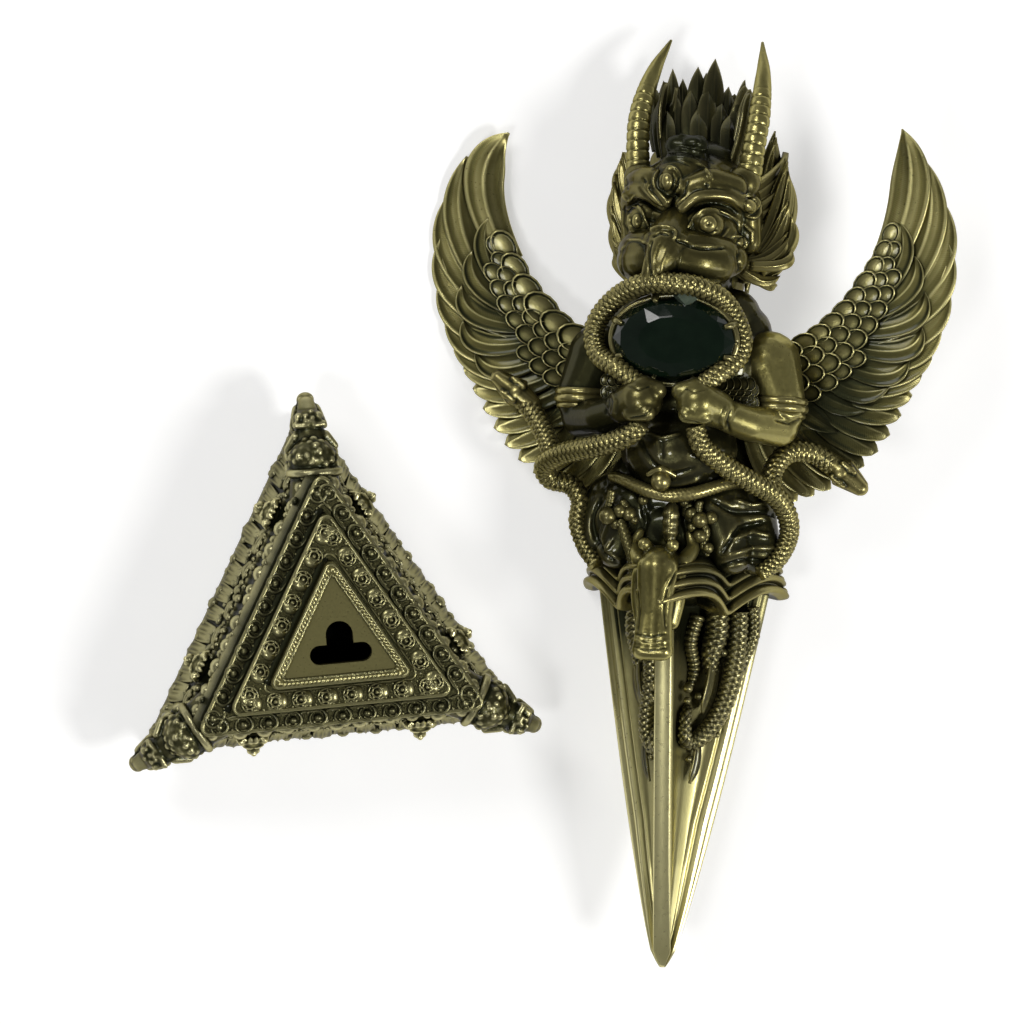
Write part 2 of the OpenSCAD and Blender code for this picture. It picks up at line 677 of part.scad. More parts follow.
module stand_lower_tier() {
  color(brass) on_tiers() stand_tier(tier_a_side, body_h);
}
module stand_upper_tier() {
  color(brass) on_tiers() stand_tier(tier_b_side, body_h + tier_h);
}
slot_bar = slot_h * 0.46;
module slot_shape() {
  low = -slot_h * 0.48;
  for (s = [-1, 1]) translate([s * (slot_w - slot_bar) / 2, low + slot_bar / 2]) circle(slot_bar / 2);
  translate([-(slot_w - slot_bar) / 2, low]) square([slot_w - slot_bar, slot_bar]);
  translate([0, low + slot_h - slot_h * 0.32]) circle(slot_h * 0.32);
  translate([-slot_h * 0.32, low + 1]) square([slot_h * 0.64, slot_h * 0.68 - 1]);
}
module stand_top() {
  z = body_h + 2 * tier_h;
  color(pale_brass) on_tiers() difference() {
    union() {
      tri_plate(top_side, 1.4, z, tier_h * 0.8);
      tri_plate(top_side - 1.2, 1.2, z, tier_h);
    }
    tri_plate(top_side - 6.4, 0.8, z + tier_h - 0.5, 2);
    translate([0.5, -0.5, z - 1]) linear_extrude(tier_h + 2) slot_shape($fn = 20);
  }
}
// A beast head that looks out over one corner of the stand, drawn for the corner on +x
module corner_head_form() {
  k = head_reach / 53;
  z = body_h * 0.62;
  limb([29 * k, 0, z + 3 * k], 6.4 * k, [37 * k, 0, z + 4 * k], 5.4 * k, 6);
  limb([38 * k, -2 * k, z + 3.4 * k], 4.6 * k, [38 * k, 2 * k, z + 3.4 * k], 4.6 * k, 6);
  limb([40 * k, 0, z + k], 4.2 * k, [50.6 * k, 0, z - 5.6 * k], 2.9 * k, 7);
  limb([38 * k, 0, z - 4 * k], 4.4 * k, [45 * k, 0, z - 8.5 * k], 2.4 * k, 5);
  for (s = [-1, 1]) ball([42.4 * k, s * 3.2 * k, z + 2.4 * k], 1.8 * k);
}
module corner_head(a) {
  color(brass) turned() difference() {
    rotate(a) corner_head_form();
    stand_outer();
    translate([0.8, -0.2, 0]) tri_plate(tier_a_side, 1.6, body_h - 0.01, 30);
  }
}
module stand_head_back() {
  corner_head(90);
}
module stand_head_left() {
  corner_head(210);
}
module stand_head_right() {
  corner_head(330);
}

blade();
blade_serpents();
makara_collar();
lower_body();
torso();
left_arm();
right_arm();
head();
beak();
mane();
crest();
left_horn();
right_horn();
left_wing();
right_wing();
beak_serpent();
left_serpent();
right_serpent();
chest_gem();
throat_gem();
belt_beads();
pendant();
stand_body();
stand_lower_tier();
stand_upper_tier();
stand_top();
stand_head_back();
stand_head_left();
stand_head_right();
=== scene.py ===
"""Winged ritual dagger and its three-sided stand: cast brass shapes, patina, floor, lamps and camera.

Lengths are in mm until a piece is put down. The dagger is shaped in its own axes: x to the right, y from the
tip up to the horns, h out of the front. LAID then lays it on its back beside the stand.
"""
import math

import bpy
import numpy as np
from mathutils import Matrix, Vector


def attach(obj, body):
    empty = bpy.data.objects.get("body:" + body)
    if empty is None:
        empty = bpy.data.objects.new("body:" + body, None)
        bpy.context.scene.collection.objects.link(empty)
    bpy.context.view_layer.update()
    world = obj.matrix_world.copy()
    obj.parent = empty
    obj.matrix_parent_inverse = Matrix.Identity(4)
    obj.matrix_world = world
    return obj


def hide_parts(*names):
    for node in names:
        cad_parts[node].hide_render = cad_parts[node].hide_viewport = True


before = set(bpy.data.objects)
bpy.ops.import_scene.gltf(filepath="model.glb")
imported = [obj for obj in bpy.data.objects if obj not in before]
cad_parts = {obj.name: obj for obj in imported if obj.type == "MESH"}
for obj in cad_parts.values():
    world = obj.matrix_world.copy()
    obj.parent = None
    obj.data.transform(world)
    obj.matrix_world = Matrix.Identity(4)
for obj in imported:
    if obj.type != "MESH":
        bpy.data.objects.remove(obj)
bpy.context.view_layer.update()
rng = np.random.default_rng(11)


def spin(turn, axis="Z"):
    """A turn in degrees about an axis."""
    return Matrix.Rotation(math.radians(turn), 4, axis)


def cos_sin(turn):
    """Cosine and sine of an angle in degrees."""
    return math.cos(math.radians(turn)), math.sin(math.radians(turn))


# Where the dagger lies, how the stand and its steps stand, and how the head and the wings are turned
LAID = Matrix.Translation((75.5, -76.4, 21.3)) @ spin(-3) @ spin(-16, "Y")
STOOD = spin(4.3)
ON_TIERS = STOOD @ Matrix.Translation((0.8, -0.2, 0))
HEAD_TURN = Matrix.Translation((1.1, 0, 0)) @ spin(-10, "Y")
TILT = Matrix.Translation((0, 140, 0)) @ spin(1.5) @ Matrix.Translation((0, -140, 0))

# The camera: where it stands, in mm, how it is turned and its focal length in picture widths. The drawing that
# marks are given on is the front view, SHEET units wide.
EYE = np.array([-65.6, 92.0, 1100.0])
EYE_TURN = (3.481, 5.695, 1.057)
SHEET = 1024
FOCAL = 4796.0 / SHEET
MM = 0.001


# Points, paths and skins

def turned(v, m):
    """Points moved by a 4x4 matrix."""
    m = np.array(m)
    return np.asarray(v, float) @ m[:3, :3].T + m[:3, 3]


def unit(v):
    """Directions of length one."""
    return v / np.maximum(np.linalg.norm(v, axis=-1, keepdims=True), 1e-9)


def flow(points, step):
    """A smooth line through the points, about one new point each step mm; further columns go along."""
    p = np.asarray(points, float)
    out = []
    for i in range(len(p) - 1):
        a, b, c, d = p[max(i - 1, 0)], p[i], p[i + 1], p[min(i + 2, len(p) - 1)]
        n = max(2, round(np.linalg.norm(c[:3] - b[:3]) / step))
        t = (np.arange(n) / n)[:, None]
        out.append(0.5 * (2 * b + (c - a) * t + (2 * a - 5 * b + 4 * c - d) * t ** 2
                          + (3 * b - a - 3 * c + d) * t ** 3))
    return np.vstack(out + [p[-1:]])


def run_of(line):
    """How far along a line each of its points is."""
    return np.concatenate([[0], np.cumsum(np.linalg.norm(np.diff(line, axis=0), axis=1))])


def sweep_axes(path, up):
    """Along, outward and sideways directions that don't twist along a path."""
    t = unit(np.gradient(path, axis=0))
    n, last = np.zeros_like(path), unit(np.asarray(up, float))
    for i, along in enumerate(t):
        last = unit(last - along * (last @ along))
        n[i] = last
    return t, n, np.cross(n, t)


class Skin:
    """A closed form in mm. lay holds the places across and along a strand; dark is laid-on darkening, 0 to 1: patina
    on some pieces and painted shade on others.
    """

    def __init__(self, v, f, lay=None, dark=0.0):
        self.v = np.asarray(v, float)
        self.f = f
        self.lay = np.zeros((len(self.v), 3)) if lay is None else lay
        self.dark = np.zeros(len(self.v)) + dark

    def put(self, m):
        return Skin(turned(self.v, m), self.f, self.lay, self.dark)

    def mesh(self, name="form"):
        me = bpy.data.meshes.new(name)
        me.from_pydata(self.v.tolist(), [], self.f)
        me.validate()
        me.update()
        return me

    def links(self):
        if not hasattr(self, "_links"):
            f4 = [g for g in self.f if len(g) == 4]
            f3 = [g for g in self.f if len(g) == 3]
            e = [np.array(g)[:, [i, (i + 1) % len(g[0])]] for g in (f4, f3) if g for i in range(len(g[0]))]
            self._links = np.unique(np.sort(np.vstack(e), axis=1), axis=0)
        return self._links

    def mean(self, value):
        """The mean of a value over each point's neighbours."""
        e, n = self.links(), len(self.v)
        total = np.zeros_like(value)
        for a, b in ((e[:, 0], e[:, 1]), (e[:, 1], e[:, 0])):
            for k in range(value.shape[1]):
                total[:, k] += np.bincount(a, value[b, k], n)
        return total / np.maximum(np.bincount(e.ravel(), minlength=n), 1)[:, None]

    def eased(self, rounds, pull=0.6):
        for _ in range(rounds):
            self.v = self.v + pull * (self.mean(self.v) - self.v)
        return self

    def normals(self):
        n = np.zeros_like(self.v)
        for size in (3, 4):
            g = np.array([x for x in self.f if len(x) == size])
            if len(g):
                p = self.v[g]
                c = np.cross(p[:, 2] - p[:, 0],
                             p[:, -1] - p[:, 1]) if size == 4 else np.cross(p[:, 1] - p[:, 0], p[:, 2] - p[:, 0])
                for k in range(size):
                    for q in range(3):
                        n[:, q] += np.bincount(g[:, k], c[:, q], len(n))
        return unit(n)

    def hollows(self):
        """Above zero in dips and below zero on ridges, in mm, from fine and broad smoothing."""
        n, p, out = self.normals(), self.v, 0.0
        for rounds, weight in ((3, 2.0), (14, 1.0)):
            q = p
            for _ in range(rounds):
                q = self.mean(q)
            out = out + weight * np.einsum("ij,ij->i", q - p, n)
        return out


def joined(skins):
    """Several skins as one."""
    v, f, lay, dark, k = [], [], [], [], 0
    for s in skins:
        v.append(s.v)
        lay.append(s.lay)
        dark.append(s.dark)
        f += [tuple(i + k for i in g) for g in s.f]
        k += len(s.v)
    return Skin(np.vstack(v), f, np.vstack(lay), np.concatenate(dark))


def loft(rings, lay=None, dark=0.0):
    """A closed skin over rings of equal counts, which turn to the left about their way on."""
    rings = np.asarray(rings, float)
    m, n = rings.shape[:2]
    f = [(i * n + k, i * n + (k + 1) % n, (i + 1) * n + (k + 1) % n, (i + 1) * n + k) for i in range(m - 1)
         for k in range(n)]
    f += [(m * n, (k + 1) % n, k) for k in range(n)]
    f += [(m * n + 1, (m - 1) * n + k, (m - 1) * n + (k + 1) % n) for k in range(n)]
    v = np.vstack([rings.reshape(-1, 3), rings[0].mean(0)[None], rings[-1].mean(0)[None]])
    if lay is not None:
        lay = np.vstack([np.asarray(lay).reshape(-1, 3), lay[0].mean(0)[None], lay[-1].mean(0)[None]])
    return Skin(v, f, lay, dark)


def rod(path, sides=16, up=(0, 0, 1), relief=None, flat=1.0, dark=0.0):
    """A round bar along x, y, h, radius points. relief(along mm, turn 0..1) adds to the radius in mm."""
    path = np.asarray(path, float)
    p, r = path[:, :3], path[:, 3:4]
    _, n, b = sweep_axes(p, up)
    s = run_of(p)[:, None]
    a = np.arange(sides)[None, :] / sides
    r = r + (0 if relief is None else relief(s, a)) + 0 * a
    c, d = np.cos(2 * np.pi * a), np.sin(2 * np.pi * a)
    rings = p[:, None] + (r * c)[..., None] * b[:, None] + (flat * r * d)[..., None] * n[:, None]
    lay = np.stack([a + 0 * s, s + 0 * a, 0 * s * a], axis=-1)
    return loft(rings, lay, dark)


def vane(a, c, b, width, thick, up=(0, 0, 1), steps=26, tilt=0.0, point=0.5, stem=0.62, dark=0.0, rim=0.3, quill=0.3):
    """A feather or leaf on a bent line from a over c to b: rimmed, with a quill, leaning by tilt mm."""
    t = np.linspace(0, 1, steps)[:, None]
    a, c, b = (np.asarray(q, float) for q in (a, c, b))
    p = (1 - t) ** 2 * a + 2 * t * (1 - t) * c + t ** 2 * b
    _, n, side = sweep_axes(p, up)
    t = t[:, 0]
    tip = np.clip((1 - t) / 0.42, 0, 1)
    half = width / 2 * (stem + (1 - stem) * np.sin(np.pi * np.minimum(t,
                                                                      0.6) / 1.2)) * np.sin(np.pi / 2 * tip) ** point
    half = np.maximum(half, 0.06 * width * (1 - 0.6 * t))
    u = np.array([-1, -0.92, -0.72, -0.4, -0.14, 0, 0.14, 0.4, 0.72, 0.92, 1.0])
    dome = 1 - np.abs(u) ** 2.4
    ridge = quill * np.exp(-(u / 0.11) ** 2) + rim * np.exp(-((np.abs(u) - 0.92) / 0.09) ** 2)
    body = thick * (1 - 0.45 * t)
    top = body[:, None] * 0.5 * (0.35 + 0.65 * dome)[None] + ridge[None] * np.minimum(1, tip * 2)[:, None]
    low = -body[:, None] * 0.5 * (0.3 + 0.7 * dome[1:-1][::-1][::2])[None]
    ul = u[1:-1][::-1][::2]
    across = np.concatenate([u, ul])
    height = np.hstack([top, low]) + tilt * across[None]
    rings = p[:, None] + (half[:, None] * across)[..., None] * side[:, None] + height[..., None] * n[:, None]
    length = np.linalg.norm(np.diff(p, axis=0), axis=1).sum()
    lay = np.stack([across + 0 * t[:, None], t[:, None] * length + 0 * across, 0 * height], axis=-1)
    return loft(rings[:, ::-1], lay[:, ::-1], dark)


def into_scene(name, data):
    """A new object of the scene that shows data."""
    o = bpy.data.objects.new(name, data)
    bpy.context.scene.collection.objects.link(o)
    return o


# The grain of the pressed wax, in mm: for the trunk, for hands and snout, and for the face
WAX_COARSE, WAX_FINE, WAX_FACE = 0.42, 0.34, 0.27


def lump(parts, grain, ease):
    """One skin over all the parts, as if pressed together from wax of a grain in mm, then smoothed."""
    me = joined(parts).mesh()
    o = into_scene("wax", me)
    mod = o.modifiers.new("press", "REMESH")
    mod.mode, mod.voxel_size = "VOXEL", grain
    done = o.evaluated_get(bpy.context.evaluated_depsgraph_get()).to_mesh()
    v = np.empty(len(done.vertices) * 3)
    done.vertices.foreach_get("co", v)
    f = [tuple(g.vertices) for g in done.polygons]
    bpy.data.objects.remove(o)
    bpy.data.meshes.remove(me)
    return Skin(v.reshape(-1, 3), f).eased(ease)


def ball(p, r, sides=20):
    """A ball or, with three radii, an egg."""
    r = np.zeros(3) + r
    a = np.linspace(0, np.pi, sides // 2 + 1)[1:-1, None]
    k = np.arange(sides)[None] * 2 * np.pi / sides
    rings = np.stack([np.sin(a) * np.cos(k), np.sin(a) * np.sin(k), np.cos(a) + 0 * k], -1)[::-1]
    s = loft(rings * r + np.asarray(p, float))
    s.v[-2] = np.asarray(p) - [0, 0, r[2]]
    s.v[-1] = np.asarray(p) + [0, 0, r[2]]
    return s


def limb(*points):
    """A rounded bar through x, y, h, radius points."""
    p = np.asarray(points, float)
    return joined([rod(flow(p, 0.8), 18, up=(0.1, 0.3, 1))] + [ball(q[:3], q[3] * 0.99) for q in (p[0], p[-1])])


def forms(rows, x_sign=1, y_sign=1):
    """Balls and bars from rows of numbers. x, y, h and one radius or three are a ball, with its sides at the end
    where they aren't 20; two or more points of x, y, h and radius are a bar."""
    out = []
    for row in rows:
        if len(row) >= 8:
            out.append(limb(*(np.reshape(row, (-1, 4)) * (x_sign, y_sign, 1, 1))))
            continue
        x, y, h, *r = row
        sides = r.pop() if len(r) in (2, 4) else 20
        out.append(ball((x_sign * x, y_sign * y, h), r, sides))
    return out


# Work on a skin from the front

def eye_matrix():
    """The way the camera is turned, as a 3x3 array."""
    x, y, z = (math.radians(a) for a in EYE_TURN)
    return np.array(Matrix.Rotation(z, 3, "Z") @ Matrix.Rotation(y, 3, "Y") @ Matrix.Rotation(x, 3, "X"))


def on_sheet(v):
    """Where points of the dagger fall on the drawing of the front view."""
    c = (turned(v, LAID) - EYE) @ eye_matrix().T
    k = FOCAL * SHEET / -c[:, 2]
    return np.stack([SHEET / 2 + k * c[:, 0], SHEET / 2 - k * c[:, 1]], 1)


def seen_at(px, py, h):
    """The point at height h of the dagger's axes that falls on a point of the drawing."""
    m = np.array(LAID)
    look = np.array([(px - SHEET / 2) / (FOCAL * SHEET), (SHEET / 2 - py) / (FOCAL * SHEET), -1.0]) @ eye_matrix()
    start, way = (EYE - m[:3, 3]) @ m[:3, :3], look @ m[:3, :3]
    return tuple(start + way * (h - start[2]) / way[2])


def off_line(p, line):
    """Distance of points on the drawing from a line through corners, and the share of the way along."""
    line = np.asarray(line, float)
    if len(line) == 1:
        return np.linalg.norm(p - line[0], axis=1), np.zeros(len(p))
    best, where = np.full(len(p), 1e9), np.zeros(len(p))
    for i in range(len(line) - 1):
        a, d = line[i], line[i + 1] - line[i]
        t = np.clip((p - a) @ d / max(d @ d, 1e-9), 0, 1)
        r = np.linalg.norm(p - a - t[:, None] * d, axis=1)
        near = r < best
        best[near], where[near] = r[near], (i + t[near]) / (len(line) - 1)
    return best, where


def front_of(skin):
    """A skin's outward directions, how far each point is turned to the camera, 0 to 1, and its place on the
    drawing."""
    look = unit(EYE - turned(skin.v, LAID)) @ np.array(LAID)[:3, :3]
    n = skin.normals()
    return n, np.clip((np.einsum("ij,ij->i", n, look) - 0.12) / 0.25, 0, 1), on_sheet(skin.v)


def tooled(skin, marks):
    """Presses marks into a skin from the front. A mark is its half width in drawing units, its rise in mm and the
    corners of its line on the drawing; a line of more than three corners is drawn smooth."""
    n, open_to, sheet = front_of(skin)
    for half, rise, *line in marks:
        line = np.array(line, float).reshape(-1, 2)
        if len(line) > 3:
            line = flow(np.hstack([line, np.zeros((len(line), 1))]), 1.5)[:, :2]
        lo, hi = line.min(0) - 3 * half, line.max(0) + 3 * half
        near = np.all((sheet > lo) & (sheet < hi), axis=1) & (open_to > 0)
        d, t = off_line(sheet[near], line)
        ends = 1 if len(line) == 1 else np.clip(np.minimum(t, 1 - t) * 8 + 0.35, 0, 1)
        skin.v[near] += n[near] * (rise * np.exp(-(d / half) ** 2) * ends * open_to[near])[:, None]
    return skin


def domed(skin, spots):
    """Swells: (x, y, half width, half height, turn in degrees, rise in mm) on the drawing."""
    n, open_to, sheet = front_of(skin)
    for x, y, a, b, turn, rise in spots:
        c, s = cos_sin(turn)
        d = sheet - [x, y]
        q = ((d[:, 0] * c + d[:, 1] * s) / a) ** 2 + ((-d[:, 0] * s + d[:, 1] * c) / b) ** 2
        skin.v += n * (rise * np.sqrt(np.clip(1 - q, 0, 1)) * open_to)[:, None]
    return skin


# Finishes

def tree_of(kind, name):
    tree = bpy.data.node_groups.new(name, kind)
    return tree, tree.nodes, tree.links


def sockets(tree, inputs, outputs):
    for kind, rows in (("INPUT", inputs), ("OUTPUT", outputs)):
        for row in rows:
            s = tree.interface.new_socket(row[0], in_out=kind, socket_type="NodeSocket" + row[1])
            if len(row) > 2:
                s.default_value = row[2]


def node(nodes, kind, **values):
    n = nodes.new(kind)
    for k, v in values.items():
        setattr(n, k, v)
    return n


def set_values(n, values):
    for key, value in values.items():
        n.inputs[key].default_value = value


def new_material(name):
    mat = bpy.data.materials.new(name)
    mat.use_nodes = True
    return mat, mat.node_tree, mat.node_tree.nodes["Principled BSDF"]


def math_node(tree, op, a, b=None, clamp=False):
    n = tree.nodes.new("ShaderNodeMath")
    n.operation, n.use_clamp = op, clamp
    for i, q in enumerate((a, b)):
        if q is None:
            continue
        if isinstance(q, (int, float)):
            n.inputs[i].default_value = q
        else:
            tree.links.new(q, n.inputs[i])
    return n.outputs[0]


def blend_node(tree, share, a, b):
    n = node(tree.nodes, "ShaderNodeMix", data_type="RGBA")
    for i, q in ((0, share), (6, a), (7, b)):
        if isinstance(q, (int, float, tuple)):
            n.inputs[i].default_value = q
        else:
            tree.links.new(q, n.inputs[i])
    return n.outputs[2]


def patina_and_shade_group():
    """Brass that is rubbed bright on its ridges and dark green-black in its hollows and crevices; the laid-on dark
    attribute darkens it the same way, and on some pieces that is painted shade.
    """
    tree, nodes, links = tree_of("ShaderNodeTree", "patina")
    sockets(tree, [
        ("Brass", "Color", (0.3, 0.26, 0.09, 1)), ("Patina And Shade", "Color", (0.012, 0.013, 0.006, 1)),
        ("Rubbed", "Color", (0.5, 0.45, 0.2, 1)), ("Depth", "Float", 1.0), ("Crevice", "Float", 0.8),
        ("Cloud", "Float", 0.3), ("Grain Size", "Float", 0.9), ("Grain", "Float", 0.5)],
            [("Color", "Color"), ("Roughness", "Float"), ("Metallic", "Float"), ("Height", "Float")])
    gi, go = nodes.new("NodeGroupInput"), nodes.new("NodeGroupOutput")
    where = nodes.new("ShaderNodeTexCoord").outputs["Object"]
    hollow = node(nodes, "ShaderNodeAttribute", attribute_name="hollow").outputs["Fac"]
    # dark is laid-on darkening, patina on some pieces and painted shade on others; it is mixed in with the hollows
    # and crevices
    dark = node(nodes, "ShaderNodeAttribute", attribute_name="dark").outputs["Fac"]
    open_sky = node(nodes, "ShaderNodeAmbientOcclusion", samples=6)
    open_sky.inputs["Distance"].default_value = 0.0035
    shut = math_node(tree, "SUBTRACT", 1.0, open_sky.outputs["AO"])
    cloud = node(nodes, "ShaderNodeTexNoise", normalize=True)
    set_values(cloud, {"Scale": 160, "Detail": 4})
    links.new(where, cloud.inputs["Vector"])
    fine = node(nodes, "ShaderNodeTexNoise", normalize=True)
    fine.inputs["Detail"].default_value = 3
    links.new(where, fine.inputs["Vector"])
    links.new(math_node(tree, "DIVIDE", 1000.0, gi.outputs["Grain Size"]), fine.inputs["Scale"])
    mottle = math_node(tree, "MULTIPLY", math_node(tree, "SUBTRACT", cloud.outputs["Fac"], 0.5), gi.outputs["Cloud"])
    low = math_node(tree, "MULTIPLY", math_node(tree, "MAXIMUM", hollow, 0.0), gi.outputs["Depth"])
    cover = math_node(tree, "ADD", low, math_node(tree, "MULTIPLY", shut, gi.outputs["Crevice"]))
    cover = math_node(tree, "ADD", math_node(tree, "ADD", cover, mottle), dark, True)
    ridge = math_node(tree, "MULTIPLY", math_node(tree, "MULTIPLY", hollow, -1.0), gi.outputs["Depth"])
    ridge = math_node(tree, "SUBTRACT", ridge, math_node(tree, "MULTIPLY", cover, 0.6), True)
    plain = blend_node(tree, ridge, gi.outputs["Brass"], gi.outputs["Rubbed"])
    links.new(blend_node(tree, cover, plain, gi.outputs["Patina And Shade"]), go.inputs["Color"])
    speck = math_node(tree, "MULTIPLY", math_node(tree, "SUBTRACT", fine.outputs["Fac"], 0.5), 0.15)
    rough = math_node(tree, "ADD", math_node(tree, "MULTIPLY", cover, 0.06), 0.3)
    links.new(math_node(tree, "ADD", rough, speck, True), go.inputs["Roughness"])
    links.new(math_node(tree, "SUBTRACT", 0.88, math_node(tree, "MULTIPLY", cover, 0.18)), go.inputs["Metallic"])
    links.new(math_node(tree, "MULTIPLY", fine.outputs["Fac"], gi.outputs["Grain"]), go.inputs["Height"])
    return tree


def barb_group():
    """Slanting hair lines on both sides of a quill, read from the across and along of a feather."""
    tree, nodes, links = tree_of("ShaderNodeTree", "barbs")
    sockets(tree, [("Pitch", "Float", 0.8), ("Slant", "Float", 1.6)], [("Height", "Float")])
    gi, go = nodes.new("NodeGroupInput"), nodes.new("NodeGroupOutput")
    lay = node(nodes, "ShaderNodeAttribute", attribute_name="lay")
    part = nodes.new("ShaderNodeSeparateXYZ")
    links.new(lay.outputs["Vector"], part.inputs[0])
    slope = math_node(tree, "MULTIPLY", math_node(tree, "ABSOLUTE", part.outputs[0]), gi.outputs["Slant"])
    along = math_node(tree, "SUBTRACT", part.outputs[1], slope)
    wave = math_node(tree, "SINE",
                     math_node(tree, "DIVIDE", math_node(tree, "MULTIPLY", along, 6.2832), gi.outputs["Pitch"]))
    links.new(wave, go.inputs["Height"])
    return tree


PATINA_AND_SHADE, BARBS = patina_and_shade_group(), barb_group()
# The green-black of patina, which is also the colour of the painted shade laid on through dark
PATINA_AND_SHADE_TONE = (0.02, 0.022, 0.01)


def brass(name, tone, rubbed, depth=1.0, crevice=0.8, cloud=0.3, size=0.9, bump=0.12, barbs=None, coat=0.2,
          coat_rough=0.07):
    """Cast brass: its tone, the tone of rubbed ridges and how far patina fills dips (depth) and crevices."""
    mat, tree, shader = new_material(name)
    g = node(tree.nodes, "ShaderNodeGroup", node_tree=PATINA_AND_SHADE)
    set_values(g, {"Brass": (*tone, 1), "Rubbed": (*rubbed, 1), "Patina And Shade": (*PATINA_AND_SHADE_TONE, 1), "Depth": depth,
                   "Crevice": crevice, "Cloud": cloud, "Grain Size": size})
    for out, into in (("Color", "Base Color"), ("Roughness", "Roughness"), ("Metallic", "Metallic")):
        tree.links.new(g.outputs[out], shader.inputs[into])
    height = g.outputs["Height"]
    if barbs:
        lines = node(tree.nodes, "ShaderNodeGroup", node_tree=BARBS)
        lines.inputs["Pitch"].default_value, lines.inputs["Slant"].default_value = barbs[:2]
        height = math_node(tree, "ADD", height, math_node(tree, "MULTIPLY", lines.outputs["Height"], barbs[2]))
    press = tree.nodes.new("ShaderNodeBump")
    set_values(press, {"Strength": 0.9, "Distance": bump / 1000})
    tree.links.new(height, press.inputs["Height"])
    tree.links.new(press.outputs["Normal"], shader.inputs["Normal"])
    set_values(shader, {"Specular Tint": (0.34, 0.31, 0.17, 1), "Specular IOR Level": 0.3, "Coat Weight": coat,
                        "Coat Roughness": coat_rough})
    return mat


def stone_glass(name, tint, body):
    """Dark glass with faint clouds between two colours."""
    mat, tree, shader = new_material(name)
    where = tree.nodes.new("ShaderNodeTexCoord").outputs["Object"]
    flaw = tree.nodes.new("ShaderNodeTexNoise")
    flaw.inputs["Scale"].default_value = 240
    tree.links.new(where, flaw.inputs["Vector"])
    tree.links.new(blend_node(tree, flaw.outputs["Fac"], (*tint, 1), (*body, 1)), shader.inputs["Base Color"])
    rough = math_node(tree, "MULTIPLY", flaw.outputs["Fac"], 0.14)
    tree.links.new(rough, shader.inputs["Roughness"])
    set_values(shader, {"IOR": 1.62, "Specular IOR Level": 0.3, "Coat Weight": 0.1, "Coat Roughness": 0.03})
    return mat


BRASSES = (
    # A lighter copy of figure_brass for the right arm: painted light
    ("lit_arm_brass", (0.3, 0.268, 0.094), (0.56, 0.5, 0.2), dict(depth=0.8, cloud=0.2, crevice=0.5)),
    ("figure_brass", (0.12, 0.105, 0.036), (0.34, 0.3, 0.12), dict(depth=1.2, cloud=0.35)),
    ("blade_brass", (0.62, 0.565, 0.25), (0.8, 0.75, 0.42), dict(depth=0.5, cloud=0.12, crevice=0.25, bump=0.03)),
    ("horn_brass", (0.16, 0.142, 0.048), (0.38, 0.34, 0.13), dict(depth=0.9, cloud=0.2, crevice=0.5)),
    ("wing_brass", (0.138, 0.123, 0.042), (0.5, 0.455, 0.2),
     dict(depth=1.3, cloud=0.5, size=0.6, bump=0.05, barbs=(0.5, 1.5, 0.16))),
    ("dark_brass", (0.05, 0.047, 0.02), (0.24, 0.215, 0.09), dict(cloud=0.5, coat=0.42, coat_rough=0.06)),
    ("crest_brass", (0.036, 0.036, 0.016), (0.16, 0.145, 0.065), dict(cloud=0.6, coat=0.25)),
    ("stand_brass", (0.07, 0.066, 0.028), (0.3, 0.28, 0.135), dict(depth=1.3, cloud=0.4, size=0.5, crevice=1.0)),
    ("wall_brass", (0.12, 0.112, 0.048), (0.7, 0.65, 0.35),
     dict(depth=1.7, cloud=0.6, size=0.4, crevice=1.0, coat=0.15)),
    ("tier_brass", (0.046, 0.043, 0.018), (0.22, 0.205, 0.1), dict(cloud=0.6, size=0.3, bump=0.4)),
    ("top_brass", (0.27, 0.245, 0.1), (0.5, 0.46, 0.22), dict(cloud=0.15, size=0.5, bump=0.04, crevice=0.6)))
FINISH = {name: brass(name, tone, rubbed, **more) for name, tone, rubbed, more in BRASSES}
FINISH["green_glass"] = stone_glass("green_glass", (0.001, 0.004, 0.002), (0.005, 0.012, 0.006))
FINISH["clear_glass"] = stone_glass("clear_glass", (0.04, 0.055, 0.04), (0.12, 0.15, 0.11))


def finish_piece(name, me, body, flat):
    """Puts a mesh into the scene as a piece that rides on a body."""
    me.polygons.foreach_set("use_smooth", [not flat] * len(me.polygons))
    o = into_scene(name, me)
    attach(o, body)
    return o


def note_skin(me, skin, gain):
    """Writes how hollow, how dark and where along a strand each point is, for the finishes."""
    for key, value in (("hollow", np.clip(skin.hollows() * gain, -1, 1)), ("dark", skin.dark)):
        me.attributes.new(key, "FLOAT", "POINT").data.foreach_set("value", np.asarray(value, float))
    me.attributes.new("lay", "FLOAT_VECTOR", "POINT").data.foreach_set("vector", skin.lay.ravel())


def put_down(name, skin, body, slot, nodes=(), place=LAID, gain=5.0, flat=False):
    """Turns a skin into a finished piece in metres that rides on a body and may stand for CAD nodes."""
    name = name + "_cast" if nodes else name
    me = skin.put(place).mesh(name)
    v = np.empty(len(me.vertices) * 3)
    me.vertices.foreach_get("co", v)
    me.vertices.foreach_set("co", v * MM)
    note_skin(me, skin, gain)
    me.materials.append(FINISH[slot])
    me.update()
    o = finish_piece(name, me, body, flat)
    if nodes:
        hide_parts(*nodes)


# Table, lamps and camera

